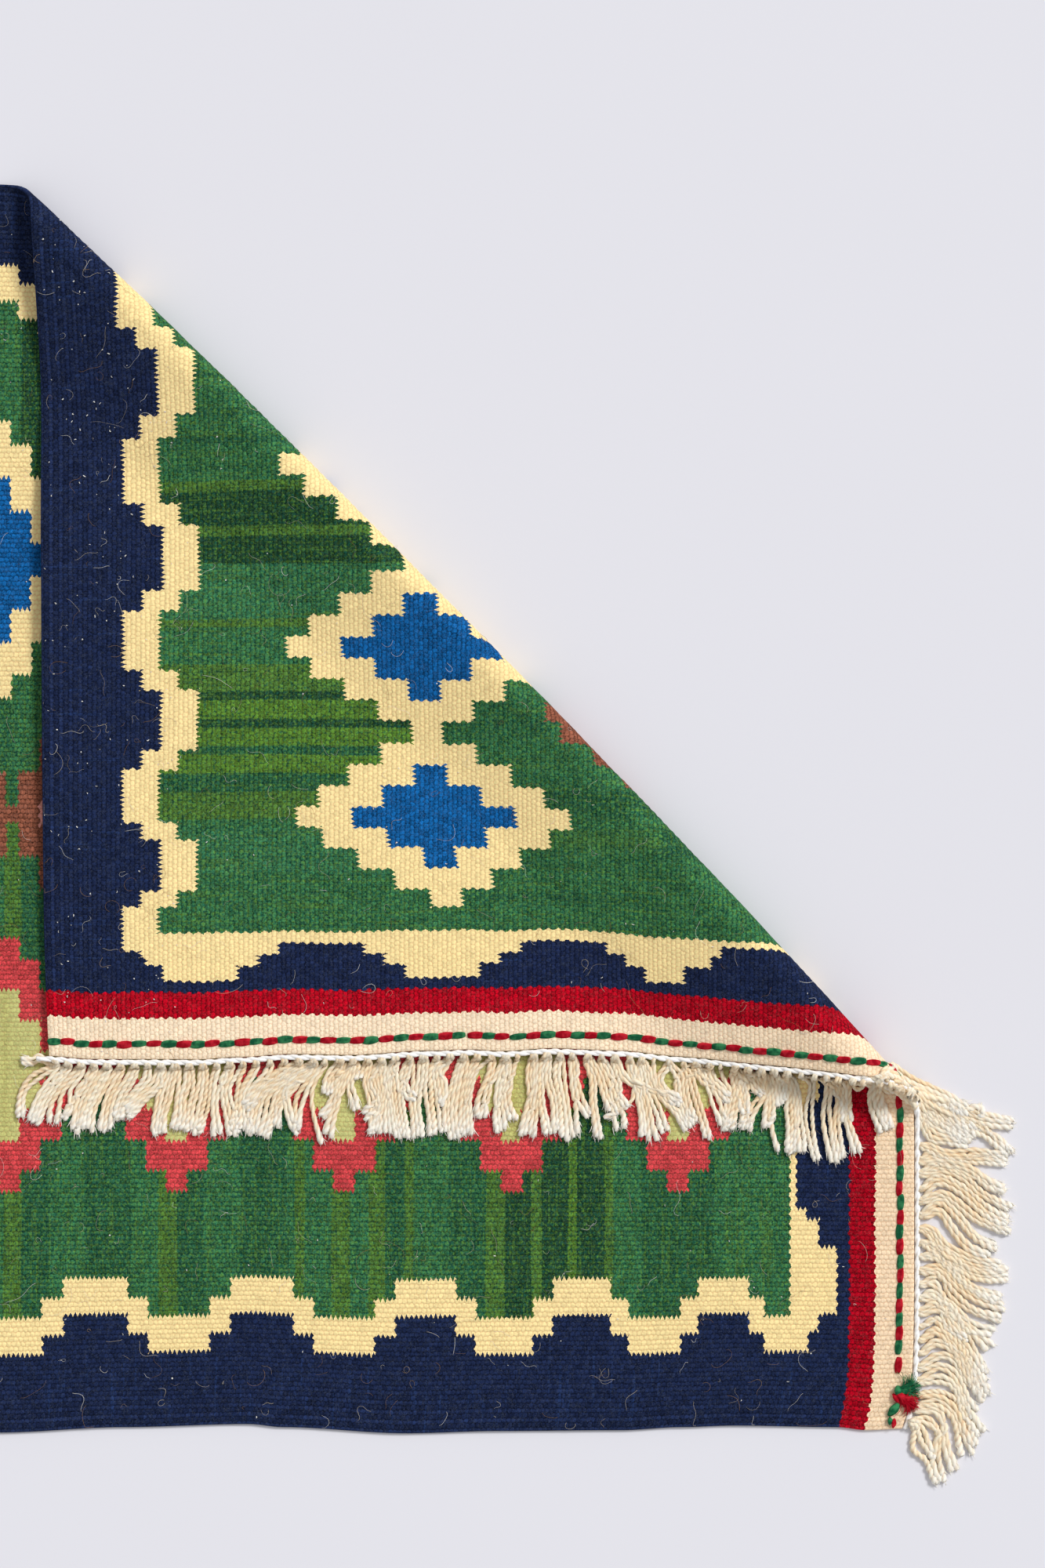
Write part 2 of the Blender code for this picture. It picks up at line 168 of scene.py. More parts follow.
def eased(t):
    """0 to 1 as t goes from 0 to 1, level at both ends."""
    t = np.clip(t, 0.0, 1.0)
    return t * t * (3 - 2 * t)


def between(share, a, b):
    """Value a where share is 0, b where it is 1."""
    return share * (b - a) + a


def from_table(rows, where, column=1):
    """A table's column at places between its rows, joined by eased steps."""
    where = np.asarray(where, float)
    found = np.full(where.shape, float(rows[0][column]))
    for low, high in zip(rows, rows[1:]):
        share = eased((where - low[0]) / (high[0] - low[0]))
        found = np.where(where > low[0], between(share, low[column], high[column]), found)
    return found


def roll_radius(s):
    return ROLL_RADIUS + ROLL_GAIN * eased((s - ROLL_GAIN_FROM) / ROLL_GAIN_OVER)


def roll_start(s):
    """How far out from the fold's chord the cloth leaves the floor."""
    bow = FOLD_BOW * (1 - np.minimum(np.abs(s) / HALF_FOLD, 1.2) ** BOW_POWER)
    return bow - roll_radius(s) - CLOTH_THICK / 2


def slope_length(radius):
    """The straight stretch between the roll and the bend where the corner touches down."""
    rise, turn = math.cos(SLOPE_ANGLE), 1 - math.cos(SLOPE_ANGLE)
    drop = radius * (1 + rise) - TOUCH_RADIUS * turn - CLOTH_THICK - LAYER_GAP
    return drop / math.sin(SLOPE_ANGLE)


def fold_section(e, radius):
    """(offset outward, height) of cloth that lies e past the start of the roll."""
    roll = radius * (math.pi + SLOPE_ANGLE)
    slope = roll + slope_length(radius)
    touch = slope + TOUCH_RADIUS * SLOPE_ANGLE
    turn = np.clip(e, 0.0, roll) / radius
    out = np.minimum(e, 0.0) + radius * np.sin(turn)
    height = radius * (1 - np.cos(turn))
    run = np.clip(e - roll, 0.0, slope - roll)
    out = out - run * math.cos(SLOPE_ANGLE)
    height = height - run * math.sin(SLOPE_ANGLE)
    bend = np.clip(e - slope, 0.0, touch - slope) / TOUCH_RADIUS
    out = out - TOUCH_RADIUS * (math.sin(SLOPE_ANGLE) - np.sin(SLOPE_ANGLE - bend))
    height = height - TOUCH_RADIUS * (np.cos(SLOPE_ANGLE - bend) - math.cos(SLOPE_ANGLE))
    return out - np.maximum(e - touch, 0.0), height


def unfolded(u, v):
    """Where a place on the rug lies before folding, with the sides' unevenness."""
    front, back = np.exp(-(RUG_WIDTH - v) / WAVE_DEPTH), np.exp(-v / WAVE_DEPTH)
    y = RUG_WIDTH / 2 - v
    y = y - front * from_table(FRONT_SIDE_WAVE, u)
    y = y + back * from_table(BACK_SIDE_WAVE, u)
    in_from_front = np.exp(-np.abs(RUG_WIDTH - v) / CORNER_PULL_ACROSS)
    in_from_back = np.exp(-np.abs(v) / CORNER_PULL_ACROSS)
    near = np.exp(-np.abs(u) / CORNER_PULL_ALONG)
    far = np.exp(-np.abs(RUG_LENGTH - u) / CORNER_PULL_ALONG)
    x = RUG_LENGTH / 2 - u - CORNER_PULL * in_from_front * near
    return x + CORNER_PULL / 2 * (in_from_front + in_from_back) * far, y


def drawn(u, v, e):
    """How the folded corner is drawn sideways, along x and y."""
    u, v = np.maximum(u, 0.0), np.maximum(v, 0.0)
    share = eased((e - DRAW_FROM) / DRAW_OVER)
    along = END_DRAW * np.exp(-u / END_DRAW_REACH)
    along = along + CORNER_DRAW * np.exp(-v / CORNER_DRAW_ACROSS - u / CORNER_DRAW_ALONG)
    down = SIDE_DROP * (1 - v / SIDE_DROP_WIDTH)
    wave = from_table(FLAP_END_WAVE, v) * np.exp(-u / FLAP_END_WAVE_REACH)
    return share * along, share * (wave - down)


def edge_lift(u, v, e):
    """How far the folded corner stands off along its long side and its end."""
    u, v = np.maximum(u, 0.0), np.maximum(v, 0.0)
    share = eased((e - LIFT_FROM) / LIFT_OVER)
    side = from_table(SIDE_LIFT, u) * np.exp(-v / SIDE_LIFT_REACH)
    return share * np.maximum(side, END_LIFT * np.exp(-u / END_LIFT_REACH))


def across_fold(u, v):
    """(place along the fold, distance past the start of the roll) before folding."""
    x, y = unfolded(u, v)
    dx, dy = x - FOLD_MIDDLE[0], y - FOLD_MIDDLE[1]
    s = dx * ALONG[0] + dy * ALONG[1]
    return s, dx * OUTWARD[0] + dy * OUTWARD[1] - roll_start(s)


def placed(u, v):
    """Where places on the rug's middle surface lie, as (..., 3)."""
    u, v = np.broadcast_arrays(np.asarray(u, float), np.asarray(v, float))
    s, e = across_fold(u, v)
    out, height = fold_section(e, roll_radius(s))
    out = roll_start(s) + out
    along, down = drawn(u, v, e)
    x = FOLD_MIDDLE[0] + s * ALONG[0] + out * OUTWARD[0] + along
    y = FOLD_MIDDLE[1] + s * ALONG[1] + out * OUTWARD[1] + down
    return np.stack((x, y, CLOTH_THICK / 2 + height + edge_lift(u, v, e)), axis=-1)


def unit(vectors):
    return vectors / np.maximum(np.linalg.norm(vectors, axis=-1, keepdims=True), 1e-12)


def surface(u, v):
    """(place, normal of the upper face) at places."""
    small = 0.0004
    along_u = unit(placed(u + small, v) - placed(u - small, v))
    along_v = unit(placed(u, v + small) - placed(u, v - small))
    return placed(u, v), unit(np.cross(along_u, along_v))


# === meshes ===


def add_attribute(mesh, name, values):
    """Keeps (points, 3) values on a mesh, for its material to read."""
    attribute = mesh.attributes.new(name, "FLOAT_VECTOR", "POINT")
    attribute.data.foreach_set("vector", np.asarray(values, np.float32).ravel())


def add_object(name, data):
    made = bpy.data.objects.new(name, data)
    bpy.context.scene.collection.objects.link(made)
    return made


def new_mesh(name, points, faces):
    """A mesh object from arrays of points and faces.  Nothing goes below the floor."""
    points = np.array(points, np.float32)
    points[:, 2] = np.maximum(points[:, 2], 0.0)
    mesh = bpy.data.meshes.new(name)
    mesh.from_pydata(points, [], faces)
    mesh.validate()
    mesh.shade_smooth()
    return add_object(name, mesh)


def ring_frames(paths, up=None):
    """(sideways, upward) directions square to each path, as near to up as they can be."""
    tangent = unit(np.gradient(paths, axis=1))
    if up is None:
        up = np.zeros_like(tangent)
        up[..., 2] = 1.0
        up[np.abs(tangent[..., 2]) > 0.95] = (1.0, 0.0, 0.0)
    sideways = unit(np.cross(up, tangent))
    return sideways, np.cross(tangent, sideways)


def make_tubes(name, paths, radii, section, turn=None, up=None):
    """One mesh of closed tubes.  paths is (tubes, rings, 3), radii (tubes, rings), section
    the relative radius of each side, turn the angle of each ring."""
    tubes, rings = radii.shape
    sides = len(section)
    sideways, upward = ring_frames(paths, up)
    angle = np.arange(sides) * (2 * math.pi / sides)
    angle = angle[None, None, :] + (0.0 if turn is None else turn[..., None])
    reach = radii[..., None] * np.asarray(section)[None, None, :]
    across, rise = (reach * np.cos(angle))[..., None], (reach * np.sin(angle))[..., None]
    points = paths[:, :, None] + across * sideways[:, :, None] + rise * upward[:, :, None]
    index = np.arange(tubes * rings * sides).reshape(tubes, rings, sides)
    after = np.roll(index, -1, axis=2)
    quads = np.stack((index[:, :-1], after[:, :-1], after[:, 1:], index[:, 1:]), axis=-1)
    caps = index[:, 0, ::-1].tolist() + index[:, -1].tolist()
    return new_mesh(name, points.reshape(-1, 3), quads.reshape(-1, 4).tolist() + caps)


def make_strands(name, material, paths, radii, section, tone, along=0.0, turn=None, up=None):
    """Tubes that keep (tone of the strand, place along it, depth in its surface) for their
    material."""
    strands = make_tubes(name, paths, radii, section, turn, up)
    values = np.empty((*radii.shape, len(section), 3))
    values[..., 0] = np.reshape(tone, (-1, 1, 1))
    values[..., 1] = np.broadcast_to(along, radii.shape)[..., None]
    values[..., 2] = np.asarray(section)
    add_attribute(strands.data, "strand", values)
    strands.data.materials.append(material)
    return strands


# === nodes ===


class Signal:
    """A value in a material's node tree, that arithmetic works on."""

    def __init__(self, graph, socket):
        self.graph = graph
        self.socket = socket


def as_method(operation, swapped=False):
    """A method that adds one Math node.  Both signals and graphs have such methods."""
    def method(self, *values):
        graph = self
        if isinstance(self, Signal):
            graph, values = self.graph, (*values, self) if swapped else (self, *values)
        return graph.math(operation, *values)
    return method


class Graph:
    """Short ways to add and join the nodes of one material."""

    def __init__(self, name):
        self.material = bpy.data.materials.new(name)
        self.material.use_nodes = True
        self.tree = self.material.node_tree
        self.shader = self.tree.nodes["Principled BSDF"]

    def plug(self, value, socket):
        """Feeds a socket from a signal, or sets it to a number or a colour."""
        if isinstance(value, Signal):
            self.tree.links.new(value.socket, socket)
        else:
            socket.default_value = value

    def add(self, kind, values, output=0, **settings):
        """Adds a node and feeds it (name or number of an input, value) pairs.  Gives one of
        its outputs."""
        made = self.tree.nodes.new("ShaderNode" + kind)
        for key, value in settings.items():
            setattr(made, key, value)
        for key, value in values:
            self.plug(value, made.inputs[key])
        return Signal(self, made.outputs[output])

    def math(self, operation, *values):
        return self.add("Math", enumerate(values), operation=operation)

    def off_middle(self, a, period, middle):
        """The distance from the nearest of a row of middles, a period apart."""
        return self.size(self.fraction((a - middle) / period + 0.5) - 0.5) * period

    def attribute(self, name):
        """The three parts of a vector that the mesh keeps."""
        kept = self.add("Attribute", (), "Vector", attribute_name=name)
        return [self.add("SeparateXYZ", ((0, kept),), axis) for axis in range(3)]

    def vector(self, x, y, z=0.0):
        return self.add("CombineXYZ", enumerate((x, y, z)))

    def object_place(self):
        return self.add("TexCoord", (), "Object")

    def noise(self, place, scale, detail=1.0, roughness=0.5):
        """A soft random value from about 0.2 to 0.8 at a place."""
        names = "Vector", "Scale", "Detail", "Roughness"
        return self.add("TexNoise", zip(names, (place, scale, detail, roughness)))

    def stray(self, place, size, scale, detail=2.0):
        """A soft random value about 0."""
        return (self.noise(place, scale, detail) - 0.5) * size

    def streaks(self, a, b, per_a, per_b, detail=2.0):
        """Noise drawn out one way: so many changes a metre along a, so many along b."""
        return self.noise(self.vector(a * per_a, b * per_b), 1.0, detail)

    def wisps(self, place, scale, width):
        """1 along thin curled lines, broken here and there, and 0 between them."""
        line = self.size(self.noise(place, scale, 2.0) - 0.5)
        gate = self.spread(self.noise(place, scale * 0.45, 1.0), 0.46, 0.56)
        return self.spread(line, 0.0, width, 1.0, 0.0) * gate

    def bands(self, where, chart):
        """The colour of the stretch that a place is in.  The chart has each colour's starts."""
        made = self.add("ValToRGB", ((0, where / RUG_LENGTH),), "Color")
        ramp = made.socket.node.color_ramp
        ramp.interpolation = "CONSTANT"
        ramp.elements.remove(ramp.elements[1])
        first, *others = sorted((start, colour) for colour in chart for start in chart[colour])
        for start, colour in others:
            ramp.elements.new(start / RUG_LENGTH).color = colour
        ramp.elements[0].position, ramp.elements[0].color = first
        return made

    def paleness(self, colour):
        """0 for dark colours, 1 for pale ones."""
        return self.spread(self.add("RGBToBW", ((0, colour),)), 0.12, 0.60)

    def cell_value(self, x, y):
        """One random value from 0 to 1 for each pair of whole numbers."""
        place = self.vector(x, y)
        return self.add("TexWhiteNoise", ((0, place),), "Value", noise_dimensions="3D")

    def spread(self, a, low, high, new_low=0.0, new_high=1.0):
        """Maps low..high to new_low..new_high, and no further."""
        names = "Value", "From Min", "From Max", "To Min", "To Max"
        return self.add("MapRange", zip(names, (a, low, high, new_low, new_high)))

    def mix(self, share, a, b):
        """Colour a where share is 0, b where it is 1."""
        return self.add("Mix", ((0, share), (6, a), (7, b)), 2, data_type="RGBA")

    def tinted(self, colour, brightness):
        """A colour times a brightness."""
        colour = colour if isinstance(colour, Signal) else colour[:3]
        values = (0, colour), ("Scale", brightness)
        return self.add("VectorMath", values, operation="SCALE")

    def finish(self, colour, height, distance, strength=1.0, roughness=0.9, sheen=0.0):
        """Joins colour and relief to the shader, whose plain values are set on it."""
        relief = ("Strength", strength), ("Distance", distance), ("Height", height)
        values = (
            ("Base Color", colour), ("Normal", self.add("Bump", relief, "Normal")),
            ("Roughness", roughness), ("Specular IOR Level", 0.08),
            ("Sheen Weight", sheen), ("Sheen Roughness", 0.6),
        )
        for name, value in values:
            self.plug(value, self.shader.inputs[name])
        return self.material


OPERATORS = {
    "add": "ADD", "radd": "ADD", "sub": "SUBTRACT", "rsub": "SUBTRACT", "mul": "MULTIPLY",
    "rmul": "MULTIPLY", "truediv": "DIVIDE", "gt": "GREATER_THAN", "lt": "LESS_THAN",
}
FUNCTIONS = {
    "least": "MINIMUM", "most": "MAXIMUM", "size": "ABSOLUTE", "floor": "FLOOR",
    "fraction": "FRACT", "power": "POWER", "exponent": "EXPONENT", "cosine": "COSINE",
}
for name, operation in OPERATORS.items():
    setattr(Signal, f"__{name}__", as_method(operation, swapped=name.startswith("r")))
for name, operation in FUNCTIONS.items():
    setattr(Graph, name, as_method(operation))


def srgb(red, green, blue):
    """A colour seen on a screen, 0 to 255, as the renderer's own."""
    linear = []
    for value in (red, green, blue):
        value /= 255
        linear.append(value / 12.92 if value <= 0.04045 else ((value + 0.055) / 1.055) ** 2.4)
    return (*linear, 1.0)


# === the woven cloth's material ===

NAVY = srgb(26, 37, 68)
NAVY_BRIGHT = srgb(36, 58, 104)
YELLOW = srgb(253, 227, 163)
CREAM = srgb(253, 230, 199)
# painted shade: a darker cream here and a darker red below, for the ends' bands towards the
# unfolded side
CREAM_IN_SHADE = srgb(248, 219, 184)
RED = srgb(176, 4, 28)
RED_IN_SHADE = srgb(160, 2, 25)
GREEN = srgb(54, 112, 71)
GREEN_DARK = srgb(43, 94, 62)
GREEN_DARKEST = srgb(34, 70, 46)
GREEN_OLIVE = srgb(78, 118, 50)
GREEN_LIME = srgb(86, 128, 44)
GREEN_TEAL = srgb(56, 118, 78)
GREEN_BLUE = srgb(18, 74, 62)
BLUE = srgb(16, 90, 152)
CORAL = srgb(202, 66, 70)
PALE_GREEN = srgb(198, 198, 128)
PALE_OLIVE = srgb(168, 162, 84)
BROWN = srgb(138, 82, 62)
PINK = srgb(226, 150, 140)
# painted shade: the warm colour of the crevices between beads of pale wool
WARM_PAINTED_SHADE = srgb(238, 186, 122)
WISP_GREY = srgb(196, 206, 208)

# The field's green, where its wool changes: how far from the folded end each colour starts,
# on the folded side of the rug and on the other
BACK_ABRASH = {
    GREEN: (0.0000, 0.1438, 0.2463, 0.3649, 0.3942, 0.4119, 0.4360, 0.5729),
    GREEN_DARK: (0.1645, 0.1895, 0.3902, 0.4083, 0.4300),
    GREEN_DARKEST: (0.2059, 0.2241, 0.3160, 0.3397, 0.5613),
    GREEN_OLIVE: (0.1514, 0.2312, 0.2715, 0.3321, 0.3619),
    GREEN_LIME: (0.1782, 0.1989, 0.2150, 0.3114),
    GREEN_TEAL: (0.1171, 0.2776),
}
FRONT_ABRASH = {
    GREEN: (0.0000, 0.1706, 0.2988, 0.3493, 0.3695, 0.3927, 0.4331, 0.4855, 0.5325, 0.5840),
    GREEN_DARK: (0.1237, 0.2715, 0.3255, 0.3998, 0.4553, 0.5037, 0.5512),
    GREEN_DARKEST: (0.1979, 0.2180, 0.2413),
    GREEN_OLIVE: (
        0.1908, 0.2347, 0.2635, 0.3190, 0.3372, 0.3624, 0.3876, 0.4719, 0.5274, 0.5714,
    ),
    GREEN_LIME: (0.2110,),
}
CHARTED_TO = 0.60
ROW_BREAK = 0.243          # the folded side's wefts change here

TOOTH_DEPTH = 0.0032       # where colours meet along the warps
TOOTH_LEAST, TOOTH_MORE = 0.55, 0.75
TOOTH_WIDTH = 0.020        # across which a tooth stays as deep
LOBE_DEPTH = 0.0007        # where they meet along the wefts
# What strays, as (size, how often it changes in a metre, detail)
WOBBLE = (0.0030, 22.0)    # the outlines
FRAY = (0.0022, 900.0, 1.0)
JITTER = (0.0022, 420.0)   # the beads
WEFT_DRIFT, WEFT_FRAY = 0.0040, (0.0030, 1100.0, 1.0)
# The motifs are woven looser near this place on the folded side: middle, reach, shift
LOOSE_MIDDLE, LOOSE_REACH, LOOSE_SHIFT = 0.3795, 0.0555, 0.0086
# The folded side's steps come later than the other side's: (from, to, by how much more)
BACK_SHIFTS = (
    (0.1800, 0.2163, 0.0023), (0.2163, 0.3200, 0.0033), (0.3200, 0.4345, 0.0093),
    (0.4345, 0.5426, 0.0010),
)

ABRASH_SCALE = 26.0        # changes of wool to a metre, where they aren't charted
ABRASH_WIDTH = 0.27        # across which a change runs
END_SHADE_OVER = (0.35, 0.65)   # the stretch across the rug over which painted shade makes the ends' bands darker

# How the weave is drawn: how round its beads are, how far the painted shade in the crevices
# between them reaches and how dark it is, how much painted light the tops of beads and ribs
# get, and how strongly each part shows in the relief
BEAD_ROUNDNESS = 2.4
CREVICE_TO, CREVICE_SHADE = 0.62, 0.42
BEAD_LIGHT, RIB_LIGHT = 0.14, 0.12
TONE_SPREAD, STREAK_SPREAD, GRIT_SPREAD, FUZZ_SPREAD = 0.50, 0.35, 3.2, 1.1
MEAN_SHADE, LEAST_SHADE = 0.92, 0.05
FUZZ_SCALE, GRIT_SCALE = 2000.0, 900.0
RELIEF_BEAD, RELIEF_RIB, RELIEF_FUZZ, RELIEF_HAIR = 0.42, 0.20, 0.55, 0.25
RELIEF_DEPTH = 0.0008
SELVEDGE_FROM, SELVEDGE_TO, SELVEDGE_SHADE = 0.004, 0.034, 0.26
DARK_WOOL_CONTRAST, PALE_WOOL_CONTRAST = 1.20, 0.21
PALE_WOOL_LIGHTER = 0.096
BROAD_SCALE, BROAD_SHADE = 9.0, 0.16
WOOL_LIGHT = 1.06
PAINTED_SHADE_WARMTH = 0.36
COARSE_WISPS, FINE_WISPS = (330.0, 0.018), (520.0, 0.030)       # scale, width
HAIR_SHARE = 0.42


def stepped_row(g, u, away, row):
    """(outer, inner) masks of a row of linked stepped diamonds, at a distance away from the
    row's middle."""
    period, first, outer, inner, drop = row
    last = first + period * round((RUG_LENGTH - 2 * first) / period)
    step = g.floor(g.off_middle(u, period, first) / MOTIF_STEP + 0.5)
    tip = MOTIF_TIP * period
    away = away + (u < first - tip) + (u > last + tip)
    return [g.least(base - drop * step, widest) > away for widest, base in (outer, inner)]


def weave_lattice(g, u, v):
    """(bead, rib, rib number, grain number): how near a place is to the top of a bead of
    weft and of a rib, 0 to 1.  Beads in neighbouring ribs are half a bead apart."""
    across = v / WARP_PITCH
    rib_number = g.floor(across + 0.5)
    along = u / GRAIN + g.fraction(rib_number * 0.5)
    grain_number = g.floor(along + 0.5)
    off_bead = g.power(g.size(along - grain_number) * 2.0, BEAD_ROUNDNESS)
    off_rib = g.power(g.size(across - rib_number) * 2.0, BEAD_ROUNDNESS)
    bead = g.math("SQRT", 1.0 - g.least(off_bead + off_rib, 1.0))
    wave_across = g.cosine(across * math.pi)
    return bead, wave_across * wave_across, rib_number, grain_number


def end_edge(g, side, chart):
    """How far from the end the navy reaches, at a distance from the long side."""
    first, low, steps, corner, corner_to = chart
    off_low = g.off_middle(side, END_EDGE_PERIOD, first)
    edge = low
    for where, change in steps:
        edge = edge + (off_low > where) * change
    return between(side < corner_to, edge, corner)


def border_masks(g, at):
    """(in navy or yellow, in navy) masks of the stepped border."""
    lag = g.exponent(at.border_u * (-1 / SIDE_EDGE_LAG_REACH))
    lagged = at.border_u - SIDE_EDGE_LAG * lag
    off_peak = g.off_middle(lagged, SIDE_EDGE_PERIOD, SIDE_EDGE_FIRST)
    side_edge = SIDE_EDGE_PEAK
    for where, change in SIDE_EDGE_STEPS:
        side_edge = side_edge + (off_peak > where) * change
    front = end_edge(g, at.from_side, FRONT_END_EDGE)
    back = end_edge(g, at.from_side, BACK_END_EDGE)
    in_side = at.from_side < side_edge + YELLOW_WIDTH
    navy_end = at.from_end < between(at.on_back, front, back)
    in_border = g.most(in_side, at.from_end < END_YELLOW_TO)
    return in_border, g.most(at.from_side < side_edge, navy_end)


def motif_masks(g, at):
    """(outer, inner) masks of each row of linked diamonds."""
    stray = g.exponent((at.motif_u - MOTIF_FIRST) * TOP_STRAY_RATE)
    off_top = g.size(at.across - (TOP_ACROSS + TOP_STRAY * stray))
    off_middle, off_low = g.size(at.across - MIDDLE_ACROSS), g.size(at.across - LOW_ACROSS)
    low_u = at.motif_u + LOW_STRAY * g.math("SINE", at.motif_u * (math.pi / RUG_LENGTH))
    return (
        stepped_row(g, at.motif_u, off_top, TOP_ROW),
        stepped_row(g, at.motif_u, off_middle, MIDDLE_ROW),
        stepped_row(g, low_u, off_low, LOW_ROW),
    )


def field_green(g, at):
    """The field's green, that changes from weft to weft."""
    drifting = at.u + (g.streaks(at.v, at.u, 9.0, 90.0) - 0.5) * WEFT_DRIFT
    drifting = drifting + g.stray(at.flat, *WEFT_FRAY)
    back, front = g.bands(drifting, BACK_ABRASH), g.bands(drifting, FRONT_ABRASH)
    charted = g.mix(at.across > RUG_WIDTH / 2, back, front)
    stretch = g.floor(at.across / ABRASH_WIDTH) * 5.0
    abrash = g.noise(g.vector(at.u, stretch), ABRASH_SCALE, 3.0, 0.6)
    plain = g.mix(g.spread(abrash, 0.50, 0.62), GREEN, GREEN_DARK)
    plain = g.mix(g.spread(abrash, 0.42, 0.34, 0.0, 0.5), plain, GREEN_OLIVE)
    beside = (at.across > ROW_BREAK) * (at.across < RUG_WIDTH / 2)
    green = g.mix(g.most(at.u > CHARTED_TO, beside), charted, plain)
    weft = g.streaks(at.u, at.v, 520.0, 14.0)
    heather = g.noise(g.vector(at.u, at.v * 0.8, 8.0), 560.0, 2.0, 0.7)
    tinges = (
        (weft, 0.54, 0.70, 0.75, GREEN_OLIVE), (weft, 0.44, 0.30, 0.50, GREEN_DARKEST),
        (heather, 0.52, 0.62, 0.60, GREEN_LIME), (heather, 0.48, 0.38, 0.75, GREEN_BLUE),
    )
    for signal, start, full, share, tinge in tinges:
        green = g.mix(g.spread(signal, start, full, 0.0, share), green, tinge)
    return green


class RugPlace:
    """A place on the rug, and where the pattern has it: the weaving is uneven, and where
    colours meet there are teeth along the warps and lobes along the wefts."""

    def __init__(self, g):
        self.u, self.v, _ = g.attribute("rug_place")
        self.flat = g.vector(self.u, self.v)
        drift_u = g.stray(self.flat, *WOBBLE)
        drift_v = g.stray(g.vector(self.v, self.u, 3.0), *WOBBLE)
        frayed = g.stray(self.flat, *FRAY)
        grain = (self.u + drift_v) / GRAIN
        uneven = g.cell_value(g.floor(grain), g.floor(self.v / TOOTH_WIDTH))
        tooth = g.size(g.fraction(grain) - 0.5) * 2.0 - 0.5
        tooth = tooth * (TOOTH_LEAST + TOOTH_MORE * uneven)
        self.rib_wave = g.cosine(self.v * (math.pi / WARP_PITCH))
        lobe = self.rib_wave * LOBE_DEPTH
        late, loose = self.shifts(g)
        self.on_back = self.v < RUG_WIDTH / 2
        woven_u = self.u + drift_u + lobe + frayed
        self.motif_u = woven_u - loose * self.on_back
        self.border_u = woven_u - late * self.on_back
        self.across = self.v + drift_v + tooth * TOOTH_DEPTH + frayed
        self.from_end = g.least(self.u, RUG_LENGTH - self.u) + drift_u + lobe + frayed
        self.from_side = g.least(self.across - BACK_EDGE_MORE, RUG_WIDTH - self.across)

    def shifts(self, g):
        """How much later the folded side's border and motifs come."""
        late = 0.0
        for start, stop, more in BACK_SHIFTS:
            late = late + g.spread(self.u, start, stop, 0.0, more)
        off_loose = (self.u - LOOSE_MIDDLE) / LOOSE_REACH
        return late, g.exponent(0.0 - off_loose * off_loose) * LOOSE_SHIFT


def pattern_colour(g, at):
    """The colour of the wool, with painted shade on the ends' bands towards the unfolded side,
    before the weave's own light and shade.
    """
    bright = g.spread(g.streaks(at.u, at.v, 420.0, 16.0), 0.60, 0.75, 0.0, 0.5)
    abrash = g.noise(g.vector(at.u, 4.0), ABRASH_SCALE, 3.0, 0.6)
    end_shade = g.spread(at.v, *END_SHADE_OVER)
    (top, top_in), (middle, middle_in), (low, low_in) = motif_masks(g, at)
    in_border, in_navy = border_masks(g, at)
    layers = (
        (top, YELLOW),
        (top_in, BLUE),
        (middle, BROWN),
        (middle_in, PINK),
        (low, CORAL),
        (low_in, g.mix(g.spread(abrash, 0.48, 0.66), PALE_GREEN, PALE_OLIVE)),
        (in_border, YELLOW),
        (in_navy, g.mix(bright, NAVY, NAVY_BRIGHT)),
        # painted shade: the ends' red and cream get darker towards the long side that is not
        # folded
        (at.from_end < RED_TO, g.mix(end_shade, RED, RED_IN_SHADE)),
        (at.from_end < CREAM_TO, g.mix(end_shade, CREAM, CREAM_IN_SHADE)),
    )
    colour = field_green(g, at)
    for mask, wool in layers:
        colour = g.mix(mask, colour, wool)
    return colour


def wool_shade(g, at, lattice, fuzz, crevice, paleness):
    """How light the wool is, bead by bead: its own uneven tone, with painted light on the tops
    of beads and ribs, painted shade in the crevices between beads, and painted light and shade
    along the ribs near the long sides.
    """
    bead, rib, rib_number, grain_number = lattice
    grit = g.noise(g.vector(at.u, at.v, 2.0), GRIT_SCALE, 3.0, 0.8)
    tone = g.cell_value(rib_number, grain_number) - 0.5
    streak = g.streaks(at.u, at.v, 900.0, 30.0, 1.0) - 0.5
    shade = (1 - BEAD_LIGHT) + BEAD_LIGHT * bead + RIB_LIGHT * rib
    shade = shade * (1.0 - CREVICE_SHADE * crevice)
    uneven = TONE_SPREAD * tone + STREAK_SPREAD * streak + GRIT_SPREAD * (grit - 0.5)
    shade = shade * (1.0 + uneven) + FUZZ_SPREAD * (fuzz - 0.5)
    from_side = g.least(at.v, RUG_WIDTH - at.v)
    selvedge = g.spread(from_side, SELVEDGE_FROM, SELVEDGE_TO, SELVEDGE_SHADE, 0.0)
    shade = shade * (1.0 + selvedge * at.rib_wave)
    contrast = between(paleness, DARK_WOOL_CONTRAST, PALE_WOOL_CONTRAST)
    shade = 1.0 + (shade - MEAN_SHADE) * contrast + PALE_WOOL_LIGHTER * paleness
    return shade * (g.noise(at.flat, BROAD_SCALE, 2.0) * BROAD_SHADE + (1 - BROAD_SHADE / 2))


